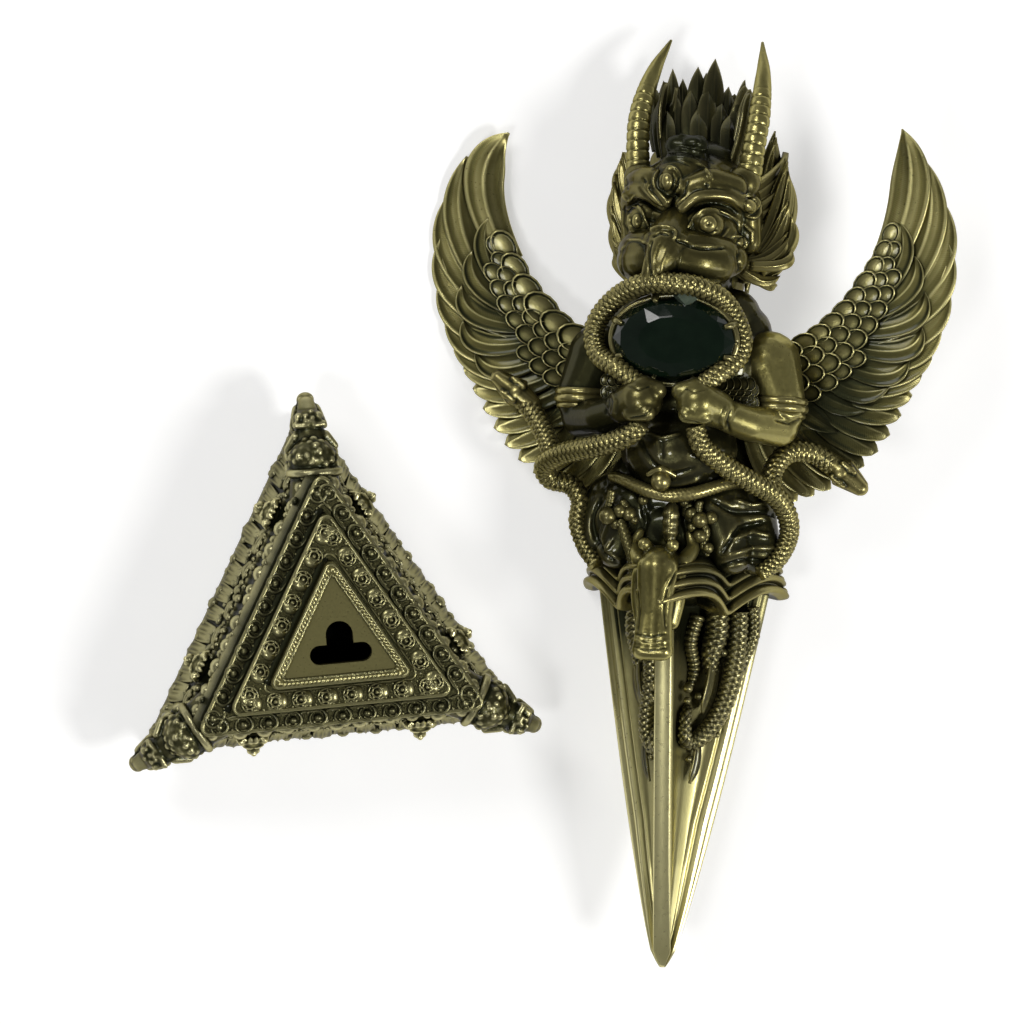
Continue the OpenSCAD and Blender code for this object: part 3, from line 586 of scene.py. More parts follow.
def table():
    """A matt white ground with a faint even glow, as on a product photograph."""
    me = bpy.data.meshes.new("table")
    me.from_pydata([(-4, -4, 0), (4, -4, 0), (4, 4, 0), (-4, 4, 0)], [], [(0, 1, 2, 3)])
    mat, tree, shader = new_material("table_white")
    tree.nodes.remove(shader)
    paper = tree.nodes.new("ShaderNodeBsdfDiffuse")
    grain = tree.nodes.new("ShaderNodeTexNoise")
    grain.inputs["Scale"].default_value = 60
    tree.links.new(tree.nodes.new("ShaderNodeTexCoord").outputs["Object"], grain.inputs["Vector"])
    tree.links.new(blend_node(tree, grain.outputs["Fac"], (0.62, 0.62, 0.62, 1), (0.66, 0.66, 0.66, 1)),
                   paper.inputs["Color"])
    glow = tree.nodes.new("ShaderNodeEmission")
    path = tree.nodes.new("ShaderNodeLightPath")
    seen = math_node(tree, "MAXIMUM", path.outputs["Is Camera Ray"],
                     math_node(tree, "MAXIMUM", path.outputs["Is Glossy Ray"], path.outputs["Is Transmission Ray"]))
    tree.links.new(math_node(tree, "MULTIPLY", seen, 0.5), glow.inputs["Strength"])
    both = tree.nodes.new("ShaderNodeAddShader")
    tree.links.new(paper.outputs[0], both.inputs[0])
    tree.links.new(glow.outputs[0], both.inputs[1])
    tree.links.new(both.outputs[0], tree.nodes["Material Output"].inputs["Surface"])
    me.materials.append(mat)
    into_scene("table", me)


# Each lamp's name, place and aim in metres, width, watts and, where it isn't white, its tint
LAMPS = (("window", (-0.55, 0.75, 0.95), (0.03, 0.02, 0), 0.5, 5.8, (1.0, 0.99, 0.96)),
         ("ceiling", (0.8, -0.33, 1.06), (0.06, -0.04, 0), 0.34, 9.2, (1.0, 0.99, 0.97)),
         ("left", (-0.48, -0.34, 1.25), (0.06, -0.04, 0), 0.26, 3.8),
         ("side", (0.9, -0.4, 0.5), (0.05, 0.0, 0), 0.3, 1.0))


def lamp(name, where, at, size, watts, tint=(1, 1, 1)):
    """A round lamp, placed in metres and aimed at a point."""
    data = bpy.data.lights.new(name, "AREA")
    data.shape, data.size, data.energy, data.color = "DISK", size, watts, tint
    o = into_scene(name, data)
    o.location = where
    o.rotation_euler = (Vector(where) - Vector(at)).to_track_quat("Z", "Y").to_euler()


def room():
    """A grey surrounding that is lighter from below, and four lamps."""
    world = bpy.data.worlds.new("room")
    world.use_nodes = True
    tree = world.node_tree
    back = tree.nodes["Background"]
    up = tree.nodes.new("ShaderNodeSeparateXYZ")
    tree.links.new(tree.nodes.new("ShaderNodeTexCoord").outputs["Generated"], up.inputs[0])
    share = math_node(tree, "MULTIPLY", math_node(tree, "ADD", up.outputs[2], 0.2), 0.9, True)
    tree.links.new(blend_node(tree, share, (0.75, 0.75, 0.74, 1), (0.2, 0.2, 0.2, 1)), back.inputs["Color"])
    back.inputs["Strength"].default_value = 0.36
    bpy.context.scene.world = world
    for row in LAMPS:
        lamp(*row)


def camera():
    """The camera of the front view."""
    data = bpy.data.cameras.new("camera")
    data.sensor_width, data.lens = 36.0, 36.0 * FOCAL
    data.clip_start, data.clip_end = 0.05, 20
    o = into_scene("camera", data)
    o.matrix_world = Matrix.Translation(EYE / 1000) @ Matrix(eye_matrix().T.tolist()).to_4x4()
    bpy.context.scene.camera = o


table()
room()
camera()
bpy.context.scene.view_settings.view_transform = "Standard"


# Castings that repeat

def pattern_tree():
    """Sets a motif on marked points, each with its own turn and size, and makes one body of them."""
    tree = bpy.data.node_groups.new("casting_pattern", "GeometryNodeTree")
    sockets(tree, [("Marks", "Geometry"), ("Motif", "Object"), ("Unevenness", "Float", 0.04), ("Seed", "Int", 3),
                   ("Finish", "Material")], [("Geometry", "Geometry")])
    nodes, links = tree.nodes, tree.links
    gi, go = nodes.new("NodeGroupInput"), nodes.new("NodeGroupOutput")
    motif = nodes.new("GeometryNodeObjectInfo")
    links.new(gi.outputs["Motif"], motif.inputs["Object"])
    turn = node(nodes, "GeometryNodeInputNamedAttribute", data_type="FLOAT_VECTOR")
    turn.inputs["Name"].default_value = "turn"
    size = node(nodes, "GeometryNodeInputNamedAttribute", data_type="FLOAT")
    size.inputs["Name"].default_value = "size"
    vary = nodes.new("FunctionNodeRandomValue")
    links.new(gi.outputs["Seed"], vary.inputs["Seed"])
    spread = math_node(tree, "MULTIPLY", math_node(tree, "SUBTRACT", vary.outputs[1], 0.5), gi.outputs["Unevenness"])
    scale = math_node(tree, "MULTIPLY", size.outputs["Attribute"], math_node(tree, "ADD", spread, 1.0))
    place = nodes.new("GeometryNodeInstanceOnPoints")
    links.new(gi.outputs["Marks"], place.inputs["Points"])
    links.new(motif.outputs["Geometry"], place.inputs["Instance"])
    links.new(turn.outputs["Attribute"], place.inputs["Rotation"])
    links.new(scale, place.inputs["Scale"])
    real = nodes.new("GeometryNodeRealizeInstances")
    finish = nodes.new("GeometryNodeSetMaterial")
    links.new(place.outputs[0], real.inputs[0])
    links.new(real.outputs[0], finish.inputs["Geometry"])
    links.new(gi.outputs["Finish"], finish.inputs["Material"])
    links.new(finish.outputs[0], go.inputs["Geometry"])
    return tree


PATTERN = pattern_tree()


def cast_row(name, motif, places, body, slot, uneven, seed=3, gain=3.0):
    """Casts one motif (a skin in mm) at many places, which are 4x4 matrices in mm, as one piece."""
    shape = motif.mesh("motif")
    note_skin(shape, motif, gain)
    motif_object = into_scene("motif", shape)
    marks = bpy.data.meshes.new("marks")
    parts = [m.decompose() for m in places]
    marks.from_pydata([tuple(p[0] * MM) for p in parts], [], [])
    turns = np.array([tuple(p[1].to_euler()) for p in parts])
    marks.attributes.new("turn", "FLOAT_VECTOR", "POINT").data.foreach_set("vector", turns.ravel())
    marks.attributes.new("size", "FLOAT", "POINT").data.foreach_set("value", [p[2][0] * MM for p in parts])
    o = into_scene(name + "_marks", marks)
    mod = o.modifiers.new("pattern", "NODES")
    mod.node_group = PATTERN
    values = {"Motif": motif_object, "Unevenness": uneven, "Seed": seed, "Finish": FINISH[slot]}
    for item in PATTERN.interface.items_tree:
        if item.in_out == "INPUT" and item.name in values:
            mod[item.identifier] = values[item.name]
    me = bpy.data.meshes.new_from_object(o.evaluated_get(bpy.context.evaluated_depsgraph_get()))
    me.name = name
    finish_piece(name, me, body, False)
    for old in (o, motif_object):
        bpy.data.objects.remove(old)


# Blade and collar

FIN_REACH, FIN_LONG, TIP_PAST = 21, 82, 2.7


def fin_reach(y):
    """How far the fins reach from the blade's line at y."""
    return FIN_REACH * max((y + TIP_PAST) / FIN_LONG, 0.0005) ** 0.78


def blade_section(y):
    """Three fins: a flat edge with a groove beside it, a thin raised line and a sunk panel."""
    r = fin_reach(y)
    k = min(1, r / 8)
    e, w = min(2, 0.9 * r), 1.2 * k
    rim = k * min(3.2, 0.3 * r / k)
    root = k * max(1.155 * w / k, 0.16 * r / k + 0.6)
    a = r - rim
    half = [
        (root * 0.5 + (a - root) * 0.25, w * 1.25), (root * 0.5 + (a - root) * 0.62, w), (a - 2.1 * k, w),
        (a - 1.85 * k, w + 0.34 * k), (a - 1.4 * k, w + 0.36 * k), (a - 1.15 * k, w - 0.02 * k), (a - 0.35 * k, w),
        (a, e - 0.12 * k), (a + 0.25 * rim, e), (a + 0.36 * rim, e - 0.22 * k), (a + 0.47 * rim, e - 0.02 * k),
        (a + 0.8 * rim, e), (r - 0.22 * k, e - 0.12 * k), (r, e - 0.5 * k)]
    side = [(root * 0.5, root * 0.866)] + half
    ring = [(p, -q) for p, q in side] + [(p, q) for p, q in half[::-1]]
    out = []
    for turn in (0, 120, 240):
        c, s = cos_sin(turn)
        out += [(p * s + q * c, y, p * c - q * s) for p, q in ring]
    return out


def hollow_point(turn, y, u, lift=0.0):
    """A point in the hollow between two fins: u to one side at full width, lift out of the hollow."""
    r = fin_reach(y)
    u = u * r / FIN_REACH
    p = 0.9 + 1.2 / math.sin(math.radians(60)) + abs(u) / math.tan(math.radians(60)) + 0.1 * r + lift
    c, s = cos_sin(turn)
    return (p * s + u * c, y, p * c - u * s)


def scaly(pitch=1.4, rise=0.42):
    """Relief for a bar: crossing rows of scales."""
    def relief(s, a):
        return rise * np.abs(np.cos(np.pi * (s / pitch + a * 5)) * np.cos(np.pi * (s / pitch - a * 5))) ** 0.6
    return relief


def beaded(pitch, rise):
    """Relief for a bar: a row of beads."""
    return lambda s, a: rise * (np.abs(np.sin(np.pi * s / pitch)) ** 0.7 - 0.5)


def coil(points, radii, step, sides, relief=None, up=(0, 0, 1)):
    """A bar on a smooth line through the points, its radii spread evenly along it."""
    p = np.asarray(points, float)
    r = np.interp(np.linspace(0, 1, len(p)), np.linspace(0, 1, len(radii)), radii)
    return rod(flow(np.hstack([p, r[:, None]]), step), sides, up, relief)


def make_blade():
    """The fins, and in each hollow between them a serpent with a thicker one, a bead cord, a leaf and drops."""
    rows = np.concatenate([np.linspace(-1.97, 6, 14), np.linspace(7, 88, 82)])
    blade = loft([blade_section(y) for y in rows])
    blade.dark = 0.6 * np.clip((blade.v[:, 1] - 64) / 12, 0, 1)
    put_down("blade", blade, "dagger", "blade_brass", ["blade"], gain=2.0)
    # The line of the large serpent in each hollow, as (to the side, up)
    ways = {60: [(9.6, 80), (10.4, 73), (10.6, 66), (9.8, 60), (7.8, 55), (4.6, 51.4), (1.0, 50), (-2.4, 51.8),
                 (-2.6, 56), (0, 58)],
            180: [(4, 79), (6, 72), (5, 65), (1.6, 59), (2.4, 54), (4, 50), (1.4, 47.4), (-1.6, 50), (0, 53)],
            300: [(1.4, 80), (1.6, 73), (1.1, 66), (1.8, 60), (2.8, 55), (2.6, 51), (0.4, 48), (-1.8, 49.6),
                  (-1, 52.4)]}
    parts = []
    for turn, line in ways.items():
        s = -1 if turn == 300 else 1
        out = (math.sin(math.radians(turn)), 0, math.cos(math.radians(turn)))

        def low(u, y, lift=0.0):
            return hollow_point(turn, y, s * u, lift)
        parts += [
            coil([low(u, y, 0.2) for u, y in line], [2.0, 2.2, 2.0, 1.8, 1.3, 0.8], 0.2, 32, scaly(1.5, 0.42)),
            coil([low(5.2, 80), low(5.6, 75), low(4.6, 70, 0.3), low(5.4, 65.5)], [2.4, 2.5, 2.0, 0.9], 0.22, 32,
                 scaly(1.7, 0.5)),
            coil([low(1.2, 79), low(-0.4, 73), low(1.2, 67), low(0.2, 62)], [1.6, 1.5, 1.2, 0.6], 0.22, 24,
                 beaded(1.2, 0.4)),
            vane(low(4.6, 69, 0.8), low(5.4, 63, 1.4), low(3.4, 56.6, 0.8), 4.2, 1.4, up=out, quill=0.1, rim=0.2)]
        if turn == 60:
            parts.append(coil([low(12.6, 81), low(13.8, 75), low(12.8, 69), low(11.8, 63.5)], [1.2, 1.3, 1.1, 0.5],
                              0.22, 24, scaly(1.3, 0.4)))
            parts += [ball(low(u, y, -0.1), 0.9, 12) for u, y in ((11.6, 78), (11.4, 74.4), (13.9, 71.4))]
        parts.append(vane(low(3.4, 50), low(4.2, 46, 0.5), low(2.4, 40.5), 2.8, 1.2, up=out))
        for u, y, r in ((-2.4, 62.6, 1.2), (-2.6, 59.8, 0.9), (7.4, 70.6, 1.0), (2.6, 60.6, 1.0), (1.2, 46.2, 0.9),
                        (8.8, 51.8, 0.8)):
            if turn == 60 or u < 7:
                parts.append(ball(low(u, y, 0.4), r, 14))
    put_down("blade_serpents", joined(parts), "dagger", "dark_brass", ["blade_serpents"], gain=3.0)


COLLAR_STEPS, COLLAR_LOW, COLLAR_FIN = 150, 15, 27.5


def collar_ring(k, inset, up):
    """A ring of the k-th ridge, inset from its edge and raised by up; it is lowest between the fins."""
    out = []
    for i in range(COLLAR_STEPS):
        turn = 360 * i / COLLAR_STEPS
        d = abs((turn + 60) % 120 - 60) / 60
        r = COLLAR_LOW + (COLLAR_FIN - 0.9 * k - COLLAR_LOW) * (1 - d) ** 1.35 - inset
        swing = max(math.sin(math.radians(180 * (1 - d) * 0.78)), 0)
        wave = 5.9 * swing ** 2 / (swing + 0.2) - 0.4
        y = 80 + wave + (3.4 - wave) * 0.12 * k + up + k * 2.7
        out.append((r * math.sin(math.radians(turn)), y, r * math.cos(math.radians(turn))))
    return out


def make_collar():
    """Three ridges that are highest at the fins, and the snout over the front fin."""
    rings = [collar_ring(0, 6, 0.5), collar_ring(0, 3, -0.1)]
    for k in range(3):
        rings += [collar_ring(k, q, u) for q, u in (
            (2.3, -0.12), (1.3, 0.0), (0.4, 0.22), (0, 0.6), (-0.05, 1.0), (0.15, 1.4), (0.8, 1.8), (1.6, 2.0),
            (2.2, 2.15), (1.9, 2.3), (2.2, 2.45))]
    around = np.arange(COLLAR_STEPS) * 2 * math.pi / COLLAR_STEPS
    rings += [[(wide * math.sin(q), y, deep * math.cos(q)) for q in around] for wide, y,
              deep in ((13, 93.6, 12), (9, 94.2, 8))]
    parts = [loft(rings)]
    for turn in (120, 240):
        c, s = cos_sin(turn)
        parts += [ball(((25.7 - 0.9 * k) * s, 84.1 + 2.75 * k, (25.7 - 0.9 * k) * c), 1.35) for k in range(3)]
    collar = joined(parts)
    sheet = on_sheet(collar.v)
    # A slight darkening all over, and painted shade on the front where the lower body hangs over the collar
    collar.dark = 0.1 + 0.5 * np.exp(-((sheet[:, 0] - 704) / 30) ** 2 - ((sheet[:, 1] - 572) / 18) ** 2)
    put_down("makara_collar", collar, "dagger", "figure_brass", ["makara_collar"], gain=4.5)
    front = 29
    snout = forms([
        (0, 90, 12, 4.8, 0, 91.4, front - 7, 4.4), (-1.7, 91, front - 5.6, 3, -1.2, 81, front - 4.6, 2.8),
        (1.7, 91, front - 5.6, 3, 1.2, 81, front - 4.6, 2.8), (0, 91, front - 5.2, 3, 0, 81, front - 4.4, 2.7),
        (-1.2, 81, front - 4.6, 2.7, -2.2, 73, front - 2.8, 2.3),
        (1.2, 81, front - 4.6, 2.7, 2.2, 73, front - 2.8, 2.3), (0, 81, front - 4.4, 2.7, 0, 73, front - 2.7, 2.35),
        (-2.4, 72.6, front - 2.7, 2.3, 2.4, 72.6, front - 2.7, 2.3), (0, 82, 15, 3.9, 0, 75, front - 7, 3.0)])
    for s in (-1, 1):
        snout += forms([
            (3.9, 89, front - 9, 2.4, 4.1, 84, front - 8.5, 2.1, 3.4, 78.6, front - 8, 1.7),
            (2.6, 95.4, front - 8, 1.2, 3.2, 96, front - 5.6, 1.5),
            (4.9, 92, front - 11, 2.0, 6.6, 95, front - 14, 1.6, 5.6, 98, front - 15, 1.0)], s)
    head = tooled(
        lump(snout, WAX_FINE, 3).put(Matrix.Translation((-1.5, 0, 0))),
        [(1.3, -0.6, 677, 572, 669, 588, 665, 606, 666, 628), (1.4, 0.3, 672, 574, 664, 590, 661, 606),
         (1.3, -0.5, 637, 590, 639, 612, 637, 632), (1.2, 0.35, 634, 640, 650, 645, 667, 641),
         (0.9, -0.35, 634, 647, 650, 651, 667, 648), (1.2, -0.35, 635, 634, 650, 637, 666, 634)])
    put_down("makara_snout", head, "dagger", "horn_brass", gain=3.0)


# Trunk, arms, belt and stones

def make_trunk():
    """Hips and legs with their folds, then the chest with its rows of scales."""
    low = forms([(0, 98.5, 0, 19.2, 11.2, 14.6), (-7, 107, 3, 10.2, 7, 107, 3, 10.2), (0, 92, 0, 12, 0, 99, 0, 13.6)])
    for s in (-1, 1):
        low += forms([(9, 104, 8, 6.2, 13, 94, 9, 5.0), (12, 105, 8, 4.6, 16.4, 98, 6, 3.4),
                      (15, 104, 3, 6.8, 17.4, 95, 4, 6.2)], s)
    folds = [
        (2.4, -0.9, 712, 500, 735, 512, 765, 512, 785, 520), (2.2, -1.0, 722, 552, 740, 528, 765, 522),
        (2.2, -0.8, 718, 568, 745, 560, 768, 562, 785, 560), (2.4, 0.7, 730, 540, 752, 532, 770, 536),
        (2.4, 0.6, 726, 556, 752, 548, 776, 548), (2.4, -0.9, 600, 500, 592, 520, 600, 548, 615, 562),
        (2.0, 0.6, 612, 540, 604, 552, 622, 560), (2.6, -0.7, 640, 492, 646, 520, 640, 548),
        (2.6, -0.7, 690, 492, 684, 520, 690, 548), (2.0, 0.6, 735, 500, 752, 505, 770, 502)]
    hips = tooled(lump(low, WAX_COARSE, 4), folds)
    sheet = on_sheet(hips.v)
    hips.dark = 0.2 + 0.7 * np.exp(-((sheet[:, 0] - 662) / 34) ** 2)
    put_down("lower_body", hips, "dagger", "dark_brass", ["lower_body"], gain=1.6)
    chest = forms([
        (0, 117, 8, 13.4, 10.6, 14.5), (0, 112, 2, 12, 0, 128, 4, 12.5), (-8.5, 136.5, 5, 11, 8.5, 136.5, 5, 11),
        (0, 147, 3, 9.5, 0, 159, 4, 10), (0, 141.5, 15.5, 15.6, 11.4, 8.4), (-16, 138.5, 3, 6.5, 16, 138.5, 3, 6.5),
        (-10.5, 147, 4, 6.5, 10.5, 147, 4, 6.5), (-13, 143.5, 3, 6.5, 13, 143.5, 3, 6.5)])
    marks = [
        (2.4, -0.5, 640, 440, 652, 462, 672, 474, 694, 468), (2.4, 0.8, 612, 466, 640, 480, 672, 484, 700, 478),
        (1.6, 0.5, 646, 432, 662, 438, 680, 434), (1.6, -0.25, 662, 440, 662, 458)]
    chest = tooled(lump(chest, WAX_COARSE, 4), marks)
    chest.dark = chest.dark + 0.2
    put_down("torso", chest, "dagger", "dark_brass", ["torso"], gain=1.6)
    spots = [
        LAID @ Matrix.Translation(seen_at(x0 + 7 * j + 3.5 * (i % 2), y0 + 6 * i, 14.5)) @ spin(turn) @ spin(14, "X")
        for x0, y0, rows, cols, turn in ((722, 384, 5, 5, 205), (606, 380, 4, 3, 160)) for i in range(rows)
        for j in range(cols)]
    cast_row("chest_scales", covert(2.6, 3.4, 0.9), spots, "dagger", "dark_brass", uneven=0.2, gain=5.0)


def covert(width, length, thick, dark=0.6):
    """A domed scale with a raised edge, its free end towards +y; painted shade darkens it inside and under the edge,
    so that the edge looks lit.
    """
    a = np.arange(14) * 2 * math.pi / 14
    r = np.array([0.86, 0.98, 1.0, 0.93, 0.84, 0.66, 0.44, 0.22])
    h = thick * np.array([-0.3, -0.2, 0.3, 0.62, 0.34, 0.38, 0.44, 0.48])
    rings = np.stack([r[:, None] * width / 2 * np.cos(a), r[:, None] * length / 2 * np.sin(a) + 0 * a,
                      h[:, None] + 0 * a], -1)
    s = loft(rings)
    # Painted shade inside and under the raised edge; the edge itself stays clear and looks lit
    s.dark = np.append(np.repeat(dark * np.array([1, 0.8, 0.3, 0, 1, 0.85, 0.7, 0.5]), 14), [dark, 0.4 * dark])
    return s


def make_arms():
    """Arms that bend round to a fist before the chest, with a cuff of three cords."""
    for s, name in ((-1, "left_arm"), (1, "right_arm")):
        parts = forms([
            (19.2, 137, 6, 7.4, 22.4, 129.5, 8, 5.7), (22.4, 127.4, 8, 5.6, 22.6, 126, 8.2, 5.4),
            (22.4, 123, 8.6, 4.7, 16.5, 123.6, 17, 4.0), (16.5, 123.6, 17, 4.0, 10.4, 126, 23, 3.4),
            (10.4, 126.6, 23.6, 4.2, 6.4, 128.2, 26, 5.1), (6, 130.6, 26.6, 3.2, 2.6, 130.4, 27.2, 2.2),
            (4.4, 125.4, 29.2, 2.0, 8.4, 125.0, 28.2, 1.7)], s)
        marks = [
            (2.2, 0.7, 777, 412, 790, 416, 801, 413), (1.4, -0.6, 776, 420, 790, 424, 802, 420),
            (1.8, 0.6, 726, 408, 722, 420, 724, 430), (1.4, -0.5, 732, 410, 728, 422, 730, 434),
            (1.8, 0.5, 612, 392, 616, 402, 614, 414), (1.4, -0.5, 606, 394, 608, 404, 606, 414),
            (1.2, -0.35, 676, 410, 684, 420, 700, 424), (1.2, -0.35, 652, 408, 644, 416, 630, 418),
            (1.0, -0.2, 684, 388, 694, 392, 706, 390), (1.0, -0.2, 628, 386, 640, 390, 650, 386)]
        arm = tooled(lump(parts, WAX_FINE, 4), marks)
        # Painted shade on the left arm's outer side; the right arm is darker towards its fist and takes a lighter
        # copy of the same brass as painted light
        arm.dark = (0.42 * np.clip((arm.v[:, 2] - 21) / 3, 0, 1) if s > 0
                    else 0.3 + 0.5 * np.clip((-10.5 - arm.v[:, 0]) / 3, 0, 1))
        put_down(name, arm, "dagger", "lit_arm_brass" if s > 0 else "figure_brass", [name], gain=2.0)
        cuff = []
        for y, wide, thick in ((128.6, 5.5, 0.85), (127.0, 5.45, 1.05), (125.4, 5.2, 0.7)):
            ring = [(s * (22.4 + wide * math.cos(q)), y + 0.5 * math.sin(q), 8.1 + wide * math.sin(q))
                    for q in np.linspace(0, 2 * math.pi, 40)]
            cuff.append(coil(ring, [thick], 0.4, 16, beaded(1.3, 0.12), up=(0, 1, 0)))
        put_down(name + "_cuff", joined(cuff), "dagger", "figure_brass")


def gem_skin(center, wide, high, rows, count):
    """A faceted stone: rows of (share of the outline, height, turned by half a facet or not)."""
    v, f = [], []
    for share, h, half in rows:
        for i in range(count):
            q = 2 * math.pi * (i + 0.5 * half) / count
            v.append((center[0] + wide / 2 * share * math.cos(q), center[1] + high / 2 * share * math.sin(q),
                      center[2] + h))
    for k in range(len(rows) - 1):
        for i in range(count):
            a, b = k * count + i, k * count + (i + 1) % count
            c, d = a + count, b + count
            if rows[k][2] < rows[k + 1][2]:
                f += [(a, b, c), (b, d, c)]
            elif rows[k][2] > rows[k + 1][2]:
                f += [(a, d, c), (a, b, d)]
            else:
                f.append((a, b, d, c))
    f.append(tuple(range((len(rows) - 1) * count, len(rows) * count)))
    f.append(tuple(range(count))[::-1])
    return Skin(v, f)


def make_stones():
    """The chest stone in its claws and the small square stone under the beak."""
    gem = gem_skin((0, 141.6, 20), 27.5, 19,
                   [(0.8, 0, 0), (1, 3.0, 0), (1, 3.6, 0), (0.86, 5.7, 1), (0.58, 6.85, 0), (0.54, 7.0, 0)], 16)
    put_down("chest_gem", gem, "dagger", "green_glass", ["chest_gem"], flat=True, gain=0)
    ring = [(14.1 * math.cos(q), 141.6 + 9.9 * math.sin(q), 22.9) for q in np.linspace(0, 2 * math.pi, 60)]
    parts = [coil(ring, [0.7], 0.5, 12)]
    for q in (0.4, 1.3, 1.9, 2.75, 3.6, 4.4, 5.1, 5.9):
        parts.append(coil([
            (14.5 * math.cos(q), 141.6 + 10.3 * math.sin(q), 22.6),
            (13.7 * math.cos(q), 141.6 + 9.5 * math.sin(q), 24.3),
            (12.4 * math.cos(q), 141.6 + 8.7 * math.sin(q), 25.1)], [0.9, 0.8, 0.5], 0.3, 12))
    put_down("gem_setting", joined(parts), "dagger", "dark_brass")
    small = gem_skin((0, 0, 0), 5.8, 5.8, [(0.8, -2.6, 0), (1, -0.8, 0), (1, 0.4, 0), (0.6, 2.0, 0)], 4)
    put_down("throat_gem", small.put(Matrix.Translation((2.6, 151.4, 24.4))), "dagger", "clear_glass", ["throat_gem"],
             flat=True, gain=0)


def make_belt():
    """The cord with its bead, two clusters of beads, their strings and the pendant."""
    line = [(15.8 * math.sin(q), 108.4 - 1.6 * math.cos(3 * q), 3 + 15.6 * math.cos(q))
            for q in np.linspace(-1.15, 1.15, 13)]
    parts = [coil(line, [1.2, 1.4, 1.2], 0.25, 20, scaly(1.0, 0.25))]
    bead = seen_at(661, 481, 20.5)
    parts += [ball(bead, 2.3), coil([(bead[0] - 3.2, bead[1] + 1.2, 19.8), (bead[0], bead[1] + 2.6, 21),
                                     (bead[0] + 3.2, bead[1] + 1.2, 19.8)], [0.5, 0.9, 0.5], 0.3, 14)]
    belt = len(parts)
    for px, py, h, r in (
            (608, 516, 15.5, 2.1), (620, 511, 15.6, 1.6), (629, 514, 15.4, 1.7), (634, 520, 15.2, 1.1),
            (616, 524, 15.2, 1.3), (691, 513, 15.6, 1.5), (700, 520, 15.8, 1.9), (711, 518, 15.2, 1.5),
            (700, 536, 15.2, 1.7), (692, 527, 15.0, 1.2), (708, 548, 14.8, 1.3), (643, 500, 15.4, 1.2),
            (684, 502, 15.4, 1.2)):
        parts.append(ball(seen_at(px, py, h), r, 16))
    for line in (
            ((612, 490), (610, 503), (606, 512)), ((700, 500), (698, 510), (701, 520)),
            ((701, 520), (706, 532), (703, 545), (708, 556)), ((622, 500), (626, 508), (632, 516)),
            ((690, 503), (686, 512), (694, 524))):
        parts.append(coil([seen_at(x, y, 15.2 - 0.3 * i) for i, (x, y) in enumerate(line)], [0.8, 1.0, 0.5], 0.25, 14,
                          beaded(1.0, 0.2)))
    parts.append(coil([seen_at(620, 520, 15), seen_at(626, 538, 15.6), seen_at(631, 556, 16.4),
                       seen_at(632, 578, 17)], [1.0, 1.2, 0.9, 0.6], 0.22, 18, scaly(1.2, 0.3)))
    for cluster in parts[belt:]:
        cluster.dark = cluster.dark + 0.45
    put_down("belt_beads", joined(parts), "dagger", "figure_brass", ["belt_beads"], gain=3)
    drop = [(0, 104.6, 15.2, 1.0), (0, 103, 16.4, 1.7), (0, 98, 16.6, 1.5), (0, 95.6, 16.4, 0.5)]

    def ribs(s, a):
        return 0.16 * np.cos(8 * np.pi * a) + 0.12 * np.sin(s * 3.1)
    put_down("pendant", rod(flow(drop, 0.25), 20, relief=ribs), "dagger", "dark_brass", ["pendant"], gain=2)


# Head

